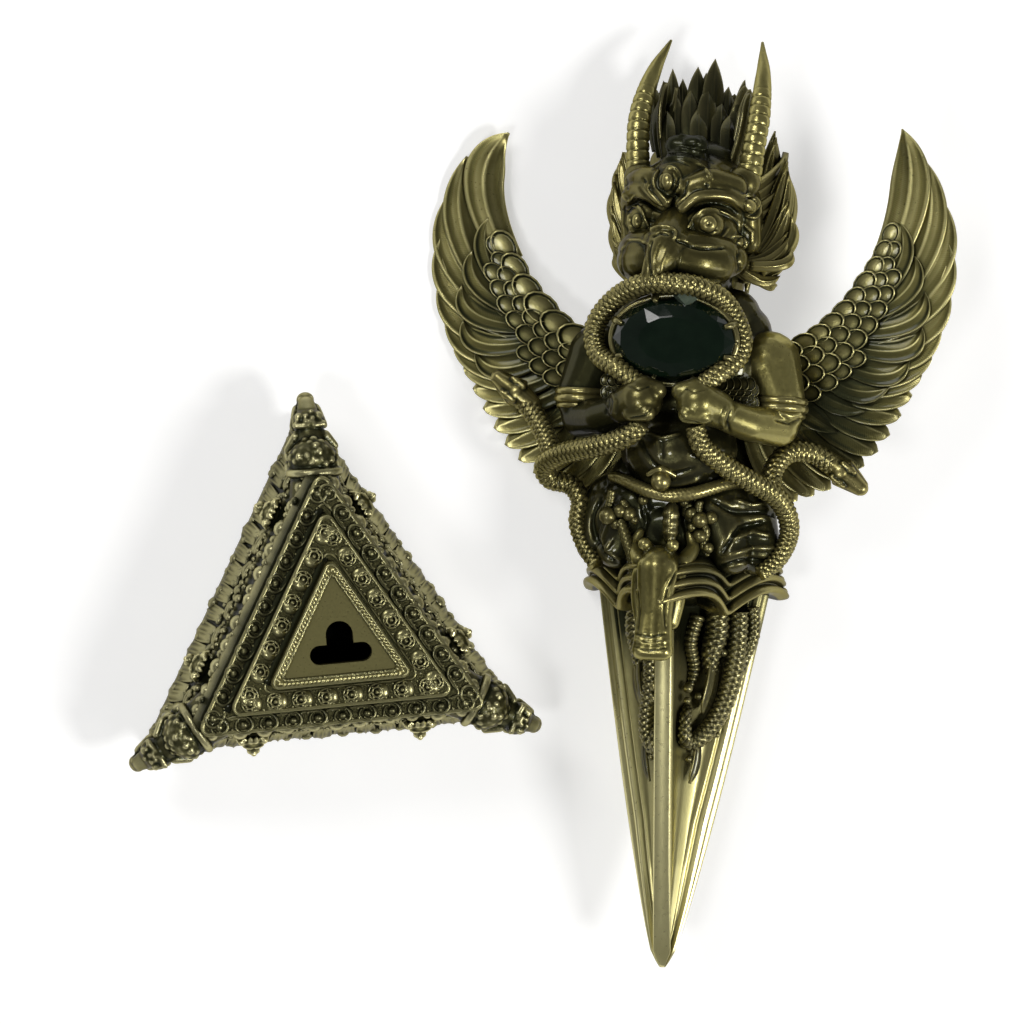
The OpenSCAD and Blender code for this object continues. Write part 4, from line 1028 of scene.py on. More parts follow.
def make_head():
    """The head with its brows, eyes and jewel, and the beak."""
    parts = forms([
        (0, 170, 2, 15.2, 14.4, 15.2, 30), (0, 164.5, 8.5, 13.4, 10.6, 11.6, 30), (0, 178, 12, 6.2, 0, 182.6, 9, 4.6),
        (0, 168, -6, 11.5, 0, 156, -5, 10), (-1.2, 177.2, 17.2, 2.5, 2.9, 2.5),
        (-2.4, 185, 11, 2.4, 2.8, 185, 10.8, 2.4)])
    for s in (-1, 1):
        parts += forms([
            (2.2, 171.8, 18.0, 1.9, 5, 173.6, 17.4, 2.1, 8.6, 174.8, 15.6, 2.2, 12, 173.6, 12.4, 2.1,
             14, 171.6, 8.5, 1.8), (2.6, 175.4, 16.4, 2.8, 7.4, 177, 14.6, 3.1, 11.4, 176, 10.4, 3.1),
             (7.6, 167.6, 16.2, 3.7),
            (12.2, 177.2, 6, 3.9), (13.4, 171, 6, 3, 14, 164, 5, 2.6)], s)
    head = lump(parts, WAX_FACE, 3).put(HEAD_TURN)
    swell = [(708, 224, 8.5, 8.5, 0, 0.9), (637, 221, 4.5, 7, 0, 0.8), (666, 182, 7, 9, 0, 0.7),
             (692, 142, 9, 5, 0, 0.7), (752, 205, 7, 9, 30, 0.8), (742, 243, 5, 5, 0, 0.8)]
    head = domed(head, swell)
    marks = [
        # brow band and the groove over it
        (2.8, 0.5, 637, 196, 644, 206, 654, 213, 668, 216, 680, 212, 690, 203, 700, 197, 716, 196, 730, 198,
         738, 204),
        (1.7, -0.55, 640, 188, 648, 199, 657, 206, 668, 209, 678, 205, 686, 197, 696, 190, 712, 188, 728, 190),
        (1.7, -0.8, 644, 218, 656, 221, 670, 222, 682, 219, 690, 212, 698, 205, 712, 203, 728, 206, 736, 213),
        # third eye and its lids
        (1.5, 0.6, 659, 170, 654, 180, 657, 190, 667, 202),
        (1.5, 0.6, 664, 168, 674, 168, 680, 176, 680, 188, 667, 203),
        (1.0, -0.5, 662, 173, 660, 182, 664, 192), (1.0, -0.5, 672, 173, 675, 181, 671, 191),
        (1.3, -0.6, 643, 178, 651, 190, 664, 207), (1.3, -0.6, 688, 180, 684, 194, 670, 207),
        (2.6, 0.9, 646, 184, 650, 187), (1.6, 0.55, 655, 164, 667, 159, 680, 157, 694, 161, 704, 168, 712, 178),
        (1.1, -0.45, 652, 170, 662, 163, 676, 161, 690, 166),
        (1.3, -0.6, 652, 160, 666, 153, 682, 151, 700, 156, 714, 163),
        # right eye
        (1.4, 0.75, 684, 233, 690, 225, 696, 217, 705, 211, 716, 211, 727, 214, 736, 220),
        (1.4, 0.6, 687, 235, 698, 240, 710, 241, 721, 237, 728, 229),
        (0.9, -0.3, 692, 222, 700, 214, 712, 211, 722, 216),
        (2.2, -0.7, 709, 224), (1.0, -0.4, 700, 230, 708, 234, 717, 231),
        (1.6, -0.6, 690, 244, 704, 249, 720, 247, 732, 238),
        # left eye
        (1.3, 0.6, 628, 210, 634, 206, 641, 210, 646, 221, 650, 230),
        (1.3, 0.55, 629, 214, 631, 228, 638, 235, 647, 235),
        (1.8, -0.6, 638, 221), (1.3, -0.5, 625, 206, 624, 224, 631, 238),
        # jewel with its arcs
        (1.1, 0.5, 677, 148, 692, 151, 708, 148), (1.0, 0.5, 679, 136, 692, 133, 706, 137),
        (1.0, -0.5, 674, 153, 692, 156, 712, 152),
        # temples, cheek and ear
        (1.4, 0.6, 742, 196, 752, 196, 760, 206, 756, 217, 746, 216), (1.2, -0.6, 738, 208, 744, 214, 752, 212),
        (1.2, 0.5, 733, 236, 741, 237, 747, 243, 741, 249, 735, 246), (1.3, -0.5, 729, 214, 738, 224, 740, 234),
        (1.4, 0.55, 622, 176, 620, 190, 628, 200, 634, 196), (1.6, -0.6, 626, 178, 627, 190),
        (2.0, -0.6, 705, 184, 709, 186),
        (1.6, 0.6, 744, 224, 752, 232, 752, 244), (1.2, -0.5, 738, 228, 744, 238)]
    head = tooled(head, [(half, rise if rise > 0 else 0.6 * rise, *line) for half, rise, *line in marks])
    py = on_sheet(head.v)[:, 1]
    head.dark = 0.85 * np.clip((168 - py) / 12, 0, 1) + 0.1 * np.clip((204 - py) / 12, 0, 1) + 0.07
    put_down("head", head, "dagger", "figure_brass", ["head"], gain=2.4)

    jaw = forms([(0, 167, 16.5, 4.4, 0, 163.5, 21.2, 4.6, 0, 160.5, 24, 4.3, -1.2, 157, 26.6, 2.8, -2.4, 154.6, 28.2,
                  1.3), (0, 154.2, 14, 4.7, -0.4, 156.4, 21.5, 3.3)])
    for s in (-1, 1):
        jaw += forms([
            (1.5, 160, 21.4, 4.1, 6, 159.4, 18.4, 4.8, 9.4, 158.8, 14.6, 4.6), (3.3, 163.4, 22.2, 2.3, 2.3, 2.3),
            (1.5, 162.4, 21, 3.9, 7, 161.6, 17.4, 4.5, 10, 161, 13.4, 4.2),
            (9.6, 158.8, 14.4, 4.2, 11.6, 160, 10, 3.6)], s)
    beak = lump(jaw, WAX_FACE, 3).put(HEAD_TURN)
    beak = domed(beak, [(634, 262, 12, 20, 0, 0.6), (706, 264, 30, 20, 8, 0.5), (668, 262, 12, 22, 0, 0.2)])
    marks = [
        (1.3, -0.5, 652, 240, 649, 252, 650, 266, 652, 280),
        (1.5, 0.8, 650, 232, 658, 228, 668, 228, 675, 232, 674, 240), (1.1, -0.55, 652, 237, 660, 233, 669, 235),
        (2.6, 0.2, 668, 246, 662, 262, 660, 280), (1.5, -0.7, 676, 240, 690, 246, 704, 249, 724, 248),
        (1.4, -0.7, 656, 284, 668, 282, 684, 279, 700, 283, 716, 287),
        (1.5, 0.45, 662, 279, 680, 275, 700, 279, 722, 283), (1.4, 0.5, 624, 246, 620, 260, 623, 274, 632, 284),
        (1.6, -0.6, 738, 252, 740, 268, 737, 280), (1.4, 0.5, 628, 240, 640, 240, 648, 244)]
    beak = tooled(beak, marks)
    beak.dark = beak.dark + 0.22
    put_down("beak", beak, "dagger", "figure_brass", ["beak"], gain=2.0)


def make_horns():
    """Ringed horns that are smooth towards the point."""
    for s, name in ((-1, "left_horn"), (1, "right_horn")):
        line = flow([(s * 12.9, 177, 5, 2.9), (s * 13.7, 184.5, 4.4, 2.6), (s * 14.1, 192.5, 2.2, 2.45),
                     (s * 13.1, 201.5, -2.6, 1.75), (s * 10.9, 209.3, -8, 0.3)], 0.2)

        def rings(q, a):
            low = np.clip((23 - q) / 4, 0, 1)
            p = q / 2.2
            return low * (0.06 - 0.24 * np.exp(-((p - np.round(p)) / 0.12) ** 2)) + 0.02 * np.sin(a * 44 + q)
        horn = rod(line, 36, relief=rings, up=(0, 0, 1)).put(HEAD_TURN)
        put_down(name, horn, "dagger", "horn_brass", [name], gain=3)


def make_crest():
    """Broad leaves that stand up behind the brow, three rows deep."""
    parts = []
    # How deep the tips and the feet of a row lie, then its leaves: tip and foot on the drawing and width
    rows = (
        (-11, -4, (655, 88, 661, 150, 4.4), (664, 82, 668, 150, 3.4), (673, 70, 677, 150, 3.6),
         (683, 80, 685, 150, 3.6), (698, 68, 697, 150, 4.8), (706, 74, 704, 152, 3.8), (715, 60, 711, 152, 5.2),
         (728, 88, 724, 152, 4.4), (744, 81, 735, 154, 3.6), (753, 96, 744, 158, 3.8)),
        (-8, 0, (660, 100, 665, 156, 4.0), (676, 94, 678, 156, 3.6), (691, 90, 691, 156, 4.2),
         (708, 86, 706, 156, 4.6), (721, 102, 718, 158, 4.4), (736, 104, 730, 160, 3.6), (747, 116, 740, 160, 3.8)),
        (-5, 3, (668, 112, 671, 160, 3.8), (699, 108, 699, 160, 4.2), (729, 116, 726, 162, 4.0)))
    for back, front, *leaves in rows:
        for i, (tx, ty, bx, by, wide) in enumerate(leaves):
            top, foot = np.array(seen_at(tx, ty, back)), np.array(seen_at(bx, by, front))
            belly = (top + foot) / 2 + [(bx - 700) * 0.012, 0, 2.6 - 0.6 * (i % 2)]
            leaf = vane(foot, belly, top, wide, 2.2, up=((bx - 700) * 0.012 + 0.3, 0, 1), steps=30, point=0.8,
                        stem=0.95, quill=0.25, rim=0.05)
            # Painted shade: each leaf darkens towards its foot, where it stands behind the leaves and the brow in
            # front
            leaf.dark = 0.75 * np.clip(1 - leaf.lay[:, 1] / leaf.lay[:, 1].max(), 0, 1) ** 0.7
            parts.append(leaf)
    hidden = [ball((0, 182, 0), (9.4, 4.6, 6.4))]
    # Painted shade: a dark ball among the back leaves fills the gaps between them
    hidden[0].dark = hidden[0].dark + 0.85
    for i in range(9):
        q = math.radians(-80 + 160 * i / 8)
        s, c = math.sin(q), math.cos(q)
        hidden.append(vane(
            (8 * s, 180, 2 - 7 * c), (11.8 * s, 190, 1 - 12 * c), (10 * s, 199.5 - (i % 3), -13 * c), 6.4, 2.1,
            up=(-s, 0, -c), steps=22, point=0.7, stem=0.8, quill=0.3, rim=0.15))
    parts.append(joined(hidden).put(HEAD_TURN))
    put_down("crest", joined(parts), "dagger", "crest_brass", ["crest"], gain=2.2)


def make_mane():
    """Flame-like locks that rise from the cheeks to upright points, each a few strands wide."""
    locks = []
    flames = (((750, 232), (760, 238), (763, 180), (773, 192), (775, 131), (777, 144), (-9, -11, -12), 3, 3.0),
              ((745, 256), (764, 258), (768, 214), (789, 222), (786, 158), (788, 176), (1, -5, -7), 5, 3.0),
              ((739, 268), (760, 272), (770, 240), (790, 246), (787, 200), (790, 218), (4, -2, -4), 4, 2.8),
              ((731, 262), (750, 266), (764, 258), (784, 264), (787, 232), (789, 250), (6, 2, -1), 4, 2.6),
              ((728, 262), (742, 270), (754, 278), (766, 284), (784, 268), (774, 284), (6, 3, 0), 3, 2.6),
              ((637, 205), (627, 212), (626, 182), (618, 188), (624, 152), (620, 166), (-1, -5, -6), 3, 2.8),
              ((638, 238), (628, 244), (622, 212), (614, 218), (616, 174), (613, 190), (1, -3, -4), 3, 2.8),
              ((639, 260), (629, 266), (622, 242), (616, 246), (613, 206), (612, 224), (4, 0, -2), 3, 2.6),
              ((640, 274), (632, 280), (626, 262), (619, 266), (614, 238), (616, 256), (6, 3, 1), 3, 2.6))
    for j, (a0, a1, c0, c1, b0, b1, h, count, wide) in enumerate(flames):
        for k in range(count):
            u = k / (count - 1)
            foot, middle, top = (
                np.array(seen_at(*(np.array(q0) * (1 - u) + np.array(q1) * u), deep + step * (k % 2))) for q0, q1,
                deep, step in ((a0, a1, h[0], 0), (c0, c1, h[1], 1.2), (b0, b1, h[2], 1.2)))
            locks.append(vane(foot, 2 * middle - (foot + top) / 2, top, wide, 2.4, up=(0.5 if j < 5 else -0.3, 0, 1),
                              steps=26, point=0.8, stem=0.85, quill=0.3, rim=0.16))
    back = []
    for s in (-1, 1):
        for j in range(4):
            for k in (-1, 0, 1):
                back.append(vane(
                    (s * 10, 158 + 5 * j + 2 * k, -2), (s * (17 - 0.5 * j), 160 + 5.4 * j + 3 * k, -8 - 1.4 * j),
                    (s * (17.4 - 0.8 * j), 166 + 5.6 * j + 2 * k, -12 - 1.4 * j), 4.4, 2.6, up=(s, 0, -0.8), steps=20,
                    point=0.75, stem=0.85, quill=0.3, rim=0.2))
    for j in (-2, -1, 0, 1, 2):
        for k in range(3):
            x = j * 4.6 + (k - 1) * 1.8
            back.append(vane(
                (x * 0.8, 174, -9), (x * 1.1, 168 + k, -20.6 + 0.09 * x * x),
                (x * 1.1, 152 + 2.4 * k, -15 + 0.04 * x * x), 3.6, 2.4, up=(j * 0.2, 0, -1), steps=22, point=0.7,
                stem=0.8, quill=0.3, rim=0.2))
    locks.append(joined(back).put(HEAD_TURN))
    mane = joined(locks)
    mane.dark = 0.45 * np.clip((-4 - mane.v[:, 2]) / 8, 0, 1)
    put_down("mane", mane, "dagger", "figure_brass", ["mane"], gain=2.6)


# Wings

# The wing's outline, its arm and the arm's width; then where the feathers end, as shares of the outline
WING_TIPS = [(44.6, 189), (52.3, 182.8), (56.6, 174.4), (58.2, 165), (58.4, 155.4), (56.8, 145.4), (53.4, 135.8),
             (48.6, 125.8), (42.6, 116.2), (34.4, 109), (24.6, 105)]
WING_ARM = [(11, 133), (22, 133.6), (31, 138.8), (38, 145.6), (42.9, 153.6), (46.6, 162.8), (48.6, 171.5),
            (49, 178.5)]
ARM_WIDE = [8.5, 7.2, 6.5, 6, 5, 3.7, 2.6, 1.4]
FEATHER_ENDS = (0.1, 0.2, 0.295, 0.385, 0.465, 0.535, 0.59, 0.64, 0.69, 0.74, 0.785, 0.83, 0.875, 0.92, 0.96, 1.0)


def bow(a, c, b, t):
    """A point on a bent line from a over c to b."""
    return (1 - t) ** 2 * np.array(a) + 2 * t * (1 - t) * np.array(c) + t * t * np.array(b)


def wing_deep(x):
    """How deep the wing's face lies, x mm from the middle."""
    return -6.2 + 1.5 * ((x - 14) / 44.5) ** 2


def on_wing(p, lift, s):
    """A point on the bowed face of the wing on side s, raised by lift."""
    return (s * p[0], p[1], wing_deep(p[0]) + lift)


def tip_line(t):
    """The place of a feather's end, a share t of the way round the wing."""
    q = flow([(x, y, 0) for x, y in WING_TIPS], 0.5)
    d = run_of(q)
    return np.array([np.interp(t * d[-1], d, q[:, k]) for k in (0, 1)])


def make_wing(s, name):
    """Long crescent feathers, short lobes below them, a second row and the arm with its scales."""
    feathers = []
    lean = [0.1, 0.2, 0.3, 0.4, 0.5, 0.6, 0.75, 1], [110, 100, 90, 76, 54, 14, -18, -44]

    def feather(a, b, g, reach, wide, thick, lift, **shape):
        c = b - reach * np.linalg.norm(b - a) * np.array(cos_sin(g))
        return vane(on_wing(a, lift - 0.2, s), on_wing(c, lift + 0.2, s), on_wing(b, lift, s), wide, thick, **shape)

    for i, e in enumerate(FEATHER_ENDS, 1):
        far = e < 0.5
        base = (41 - 1.5 * i, 147 - 1.7 * i) if far else bow((32, 136), (26, 132), (14, 131), (e - 0.5) / 0.5)
        wide, steps, point = (8.2, 46, 0.85) if far else (7.6, 30, 0.5)
        f = feather(np.array(base), tip_line(e), np.interp(e, *lean), 0.5, wide, 1.9, 0.15 * (i % 2), steps=steps,
                    tilt=-0.6 * s, point=point, rim=0.32, quill=0.2)
        # Painted shade: each long feather darkens towards its root, where the next one lies over it
        f.dark = 0.75 * np.clip(1 - f.lay[:, 1] / f.lay[:, 1].max() / 0.62, 0, 1)
        feathers.append(f)
    lead = ((512, 262), (458, 172), (509, 133)) if s < 0 else ((872, 286), (930, 196), (902, 129))
    line = turned([seen_at(*q, on_wing((38 + 4 * k, 0), 0.8, s)[2]) for k, q in enumerate(lead)], TILT.inverted())
    feathers.append(vane(*line, 9.4, 1.9, steps=46, tilt=-0.6 * s, point=0.85, rim=0.32, quill=0.2))
    second = (
        ((47, 168.5), 114, (40, 150)), ((50.6, 161), 106, (38.5, 147)), ((53, 153), 97, (37, 144)),
        ((52.6, 145), 86, (35, 141)), ((49.8, 138), 66, (32, 138)), ((45.6, 131.6), 30, (28, 136)),
        ((40.4, 126), -4, (24, 134.5)), ((34, 121), -24, (19, 133)), ((27, 117.6), -42, (15, 132)))
    for i, (tip, g, base) in enumerate(second):
        f = feather(np.array(base), np.array(tip), g, 0.48, 5.6, 1.5, 1.0 + 0.2 * (i % 2), steps=34, tilt=-0.5 * s,
                    point=0.85, rim=0.36, quill=0.16)
        # Painted shade towards the root here too, on a slight darkening all over
        f.dark = 0.2 + 0.6 * np.clip(1 - f.lay[:, 1] / f.lay[:, 1].max() / 0.75, 0, 1)
        feathers.append(f)
    # The wing darkens near the body, on the two low feathers here and in the spot below: partly patina and partly
    # painted shade
    for k in (0, 1):
        feathers.append(vane(on_wing((9 + 3 * k, 131), -1.4, s), on_wing((14 + 3 * k, 120), -1, s),
                             on_wing((17 + 4 * k, 106), -1.4, s), 11, 1.8, steps=20, dark=0.8))
    arm = flow([(*on_wing(p, 0.5, s), 0.7 * w) for p, w in zip(WING_ARM[:6], ARM_WIDE)], 0.6)
    feathers.append(rod(arm, 28, flat=0.32, dark=0.4))
    wing = joined(feathers)
    # The darker spot near the body: partly patina, partly painted shade
    x, y = s * wing.v[:, 0], wing.v[:, 1]
    cx, cy, r = (24, 124, 10) if s < 0 else (35, 122, 11)
    wing.dark = wing.dark + 0.8 * np.exp(-((x - cx) / r) ** 2 - ((y - cy) / r) ** 2)
    put_down(name, wing.put(TILT), "dagger", "wing_brass", [name], gain=2.4)
    line = flow([(x, y, 0, w) for (x, y), w in zip(WING_ARM, ARM_WIDE)], 0.5)
    d = run_of(line[:, :2])
    way = unit(np.gradient(line[:, :2], axis=0))
    big = 1.3 if s < 0 else 0.95
    for kind, dark, rows in (
            ("_scallops", 0.4, ((-0.7, 4.6 * big, big * 1.08, 0.25, 0.0, 0.82),)),
            ("_coverts", 0.75, ((-0.22, 3.9, 0.98, 0.4, 0.5, 0.78), (0.3, 3.9, 1.0, 0.5, 0.0, 0.7),
                                (0.8, 3.8, 0.9, 0.6, 0.5, 0.42)))):
        places = []
        for off, pitch, size, fan, start, end in rows:
            for j in range(int(d[-1] / pitch)):
                q = (j + start + 0.2) * pitch
                u = q / d[-1]
                if u < 0.06 or u > end:
                    continue
                p, along = (np.array([np.interp(q, d, row[:, k]) for k in (0, 1)]) for row in (line, way))
                w, out = np.interp(q, d, line[:, 3]), np.array([along[1], -along[0]])
                at_p = p + out * off * w
                turn = math.atan2(along[1] + fan * out[1], along[0] + fan * out[0]) - math.pi / 2
                x, y, h = on_wing(at_p, 1.0 + 0.3 * w * (1 - off ** 2 * 0.5) * 0.62 + 0.3 * max(off, 0), s)
                places.append(LAID @ TILT @ Matrix.Translation((x, y, h)) @ Matrix.Rotation(s * turn, 4, "Z")
                              @ spin(11, "X") @ Matrix.Scale(size * (0.6 + 0.4 * min(w, 6) / 6), 4))
        cast_row(name + kind, covert(4.7, 6.8, 1.15, dark), places, "dagger", "wing_brass", uneven=0.12, seed=5 + s)


# Serpents

def serpent_head(p, way, up, r):
    """A flat wedge-shaped head with brows, eyes, nostrils and a mouth line."""
    e = unit(np.array(way, float))
    n = unit(np.array(up, float) - e * (np.array(up) @ e))
    b = np.cross(n, e)
    p = np.array(p, float)
    parts = [limb((*(p - 1.8 * r * e), r * 0.92), (*p, r * 1.22)),
             limb((*p, r * 1.25), (*(p + 1.2 * r * e), r * 0.95), (*(p + 2.3 * r * e), r * 0.7))]
    for s in (-1, 1):
        parts += [
            ball(p + 0.55 * r * e + 0.72 * r * n + s * 0.75 * r * b, r * 0.42, 14),
            limb((*(p - 0.3 * r * e + 0.9 * r * n + s * 0.8 * r * b), r * 0.26),
                 (*(p + 1.0 * r * e + 0.85 * r * n + s * 0.8 * r * b), r * 0.22)),
            ball(p + 2.5 * r * e + 0.3 * r * n + s * 0.35 * r * b, r * 0.24, 12),
            limb((*(p + 0.1 * r * e - 0.35 * r * n + s * 1.12 * r * b), r * 0.3),
                 (*(p + 2.4 * r * e - 0.3 * r * n + s * 0.5 * r * b), r * 0.26))]
    return lump(parts, 0.2, 2)


def make_serpents():
    """The serpent bitten by the beak and the two that the fists hold."""
    line = [
        (-7, 131.6, 26.5), (-12, 134.8, 25), (-17.4, 138, 20.4), (-18.4, 144, 18.8), (-13.8, 150.2, 21.4),
        (-7, 153.8, 25.6), (0, 154.2, 27), (6, 153.4, 25.4), (11, 150.2, 21.6), (14.6, 143.2, 19.6),
        (14.2, 138.4, 21), (10.8, 134.8, 25), (7, 131.8, 26.5)]
    put_down("beak_serpent", coil(line, [1.9, 2.1, 2.1, 2.1, 1.9], 0.22, 40, scaly()), "dagger", "figure_brass",
             ["beak_serpent"], gain=9)
    held = (
        ("left_serpent", [(-6, 123, 26), (-9.5, 119.6, 25), (-17, 117, 21), (-25, 115, 15), (-30.2, 112, 9.5),
                          (-29.6, 108.6, 5.5), (-25, 107.4, 4.5), (-22.4, 104, 5.6), (-22.6, 99, 6.4), (-20.6, 94, 8),
                          (-17.4, 90, 10.5)],
         [(-28, 113, 11), (-30, 117, 7.5), (-33.4, 122, 4), (-37, 126, 2)],
         ((-38.6, 127.6, 1.8), (-0.86, 0.6, -0.1), (0.1, 0.1, 1))),
        ("right_serpent", [(6, 123, 26), (7.4, 118.6, 25), (12, 114.4, 22), (17.4, 111, 18), (22.6, 107.6, 12.5),
                           (25.2, 103, 8), (25.4, 98, 6), (23.4, 93, 7.4), (19.8, 89.6, 10)],
         [(22, 108, 10), (21.4, 112.6, 8), (24.4, 117, 4.5), (29.6, 117, 1.5), (34, 114.4, 0)],
         ((36, 113, -0.4), (0.8, -0.6, 0), (0, 0, 1))))
    for name, trunk, neck, head in held:
        parts = [coil(trunk, [1.9, 2.1, 2.1, 2.05, 1.9, 1.5], 0.22, 40, scaly()),
                 coil(neck, [2.0, 2.1, 2.1], 0.22, 40, scaly()), serpent_head(*head, 2.5)]
        put_down(name, joined(parts), "dagger", "figure_brass", [name], gain=9)


# Stand

# The outline of the walls: the share of their height and the share of the way in from the foot to the top
WALL = np.array([
    (0, 0), (0.07, 0), (0.1, 0.1), (0.14, 0.06), (0.2, 0.28), (0.35, 0.52), (0.5, 0.66), (0.54, 0.58), (0.6, 0.6),
    (0.64, 0.74), (0.8, 0.86), (0.86, 0.8), (0.93, 0.84), (0.96, 1.04), (1, 1.04)])
# In mm: how far the walls' foot is from the middle, how far in they go and how high; then where the sides face
FOOT, TOP_IN, WALL_HIGH = 25.4, 6.35, 33.2
SIDES = (30, 150, 270)


def wall_reach(h):
    """How far a wall is from the middle at a share h of its height."""
    return FOOT + (19.05 - FOOT) * np.interp(h, WALL[:, 0], WALL[:, 1])


def tri_ring(m, c, z):
    """A triangle with rounded corners: distance m from its middle to a side, corner radius c, height z."""
    arcs = []
    for turn in (90, 210, 330):
        q = math.radians(turn)
        a = q + np.radians(np.linspace(-60, 60, 9))
        arcs.append(np.stack([2 * (m - c) * math.cos(q) + c * np.cos(a), 2 * (m - c) * math.sin(q) + c * np.sin(a),
                              z + 0 * a], 1))
    out = []
    for k in range(3):
        t = np.linspace(0, 1, 37)[1:-1, None]
        out += [arcs[k], arcs[k][-1] * (1 - t) + arcs[(k + 1) % 3][0] * t]
    return np.vstack(out)


def rim(m, c, z, r, relief=None):
    """A closed bar of radius r round a rounded triangle."""
    p = tri_ring(m, c, z)
    p = np.vstack([np.roll(p, 20, axis=0), np.roll(p, 20, axis=0)[:1]])
    return rod(flow(np.hstack([p, np.full((len(p), 1), r)]), 0.35 if relief else 0.9), 10, relief=relief)


def at_side(turn, u, m, z):
    """A place on a side of the stand, its +y facing out and its +x running along the side."""
    q = math.radians(turn)
    return (Matrix.Translation((m * math.cos(q) - u * math.sin(q), m * math.sin(q) + u * math.cos(q), z))
            @ Matrix.Rotation(q - math.pi / 2, 4, "Z"))


def drop():
    """A pearl in a ring whose line runs on to the next one."""
    line = [
        (3.9, -1.3, 0), (2.5, -1.75, 0.05), (0.9, -1.85, 0.1), (-0.9, -1.6, 0.15), (-1.85, -0.5, 0.2),
        (-1.65, 0.9, 0.2), (-0.5, 1.75, 0.2), (0.9, 1.6, 0.2), (1.75, 0.6, 0.15), (1.6, -0.5, 0.1), (0.9, -1.2, 0.0)]
    ring = joined([coil(line, [0.2, 0.42, 0.48, 0.46, 0.4, 0.2], 0.7, 7), ball((0, 0.1, 0.1), (1.0, 1.0, 0.85), 10)])
    ring.dark = ring.dark + 0.45
    return ring


def rosette():
    """A round bud: a smooth dome behind and a small flower in front."""
    parts = [ball((-0.75, 0, 0), (1.45, 1.9, 0.85), 14)]
    for r, thick, h in ((1.85, 0.28, 0.3), (1.1, 0.26, 0.6)):
        q = np.linspace(0, 2 * math.pi, 13)
        parts.append(coil([(0.6 + r * math.cos(a), r * math.sin(a), h) for a in q], [thick], 0.8, 6))
    for a in np.arange(7) * 2 * math.pi / 7:
        parts.append(ball((0.6 + 1.4 * math.cos(a), 1.4 * math.sin(a), 0.5), 0.36, 8))
    return joined(parts + [ball((0.6, 0, 0.7), 0.5, 8)])


def lion_face():
    """A small lion's face, its muzzle towards +y, h up."""
    parts = forms([(0, 0, 0, 3.1, 2.3, 3.3, 20), (0, 1.6, -0.4, 1.3, 0, 3.0, -0.9, 1.1), (0, 3.6, -0.4, 0.75, 12),
                   (-1.0, 2.4, -1.9, 0.6, 1.0, 2.4, -1.9, 0.6)])
    for s in (-1, 1):
        parts += forms([(1.35, 1.9, 0.9, 0.62, 12), (0.5, 2.1, 1.5, 0.4, 2.1, 1.6, 1.8, 0.4),
                        (2.5, 0.4, 2.6, 0.95, 12), (0.8, 3.0, -1.2, 0.8, 12)], s)
    for a in np.radians(np.arange(-30, 215, 22)):
        parts.append(limb((2.9 * math.cos(a), 0.4, 3.0 * math.sin(a), 0.75),
                          (3.7 * math.cos(a), -0.4, 3.9 * math.sin(a), 0.4)))
    return lump(parts, 0.26, 2)


def beast_head():
    """A corner head that looks out along +x: domed nape, a deep groove, muzzle, brows, ears and jaw."""
    parts = forms([
        (30, 0, 24, 6.2, 37, 0, 24.6, 5.2), (39.6, 0, 25, 4.7, 5.4, 5.6, 26), (43, 0, 22.4, 3.4, 46, 0, 21, 3.2),
        (47.6, 0, 20.6, 3.1, 3.9, 3.5, 24), (49, 0, 19.4, 2.6, 51.4, 0, 17, 2.0), (52.4, 0, 14.6, 1.9, 2.1, 1.9, 18),
        (51.4, 0, 17, 1.7, 52.6, 0, 15, 1.6), (36, 0, 17, 5, 43, 0, 13.5, 3.4, 48.6, 0, 11.6, 2.1),
        (34, 0, 12, 5, 38, 0, 7, 4.2)])
    for s in (-1, 1):
        parts += forms([
            (49.0, 2.2, 22.6, 1.05, 14), (47.0, 1.0, 24, 0.7, 47.2, 3.2, 23.6, 0.75),
            (44.6, 3.4, 22.6, 1.1, 41.8, 5.4, 21.6, 0.9), (52.6, 1.1, 16.4, 0.8, 12),
            (46.6, 3.4, 18.4, 1.0, 50.6, 2.4, 14.8, 0.8, 50.0, 1.9, 12.6, 0.7),
            (40.4, 4.6, 19.5, 1.6, 41, 4.8, 15, 1.2), (37.6, 4.4, 17, 1.9, 37.8, 4.6, 10, 1.3)], y_sign=s)
    for k in range(46):
        turn, rise = 2.4 * k, math.asin(1 - k / 46)
        parts.append(ball((39.6 + 4.4 * math.cos(rise) * math.cos(turn), 5.1 * math.cos(rise) * math.sin(turn),
                           25 + 5.2 * math.sin(rise)), 0.75 + 0.3 * math.sin(3 * k), 10))
    for k in range(16):
        parts.append(ball((47.6 + 3.1 * math.cos(2.4 * k) * (k + 2) / 18, 3.8 * math.sin(2.4 * k) * (k + 2) / 18,
                           20.8 + 3.4 * math.sqrt(1 - ((k + 2) / 18.2) ** 2)), 0.6, 10))
    nape = [(36.6 + 0.2 * math.cos(q), 5.6 * math.cos(q), 24.8 + 5.8 * math.sin(q))
            for q in np.linspace(-0.4, math.pi + 0.4, 20)]
    return lump(parts + [coil(nape, [1.0], 0.5, 12)], 0.3, 3)


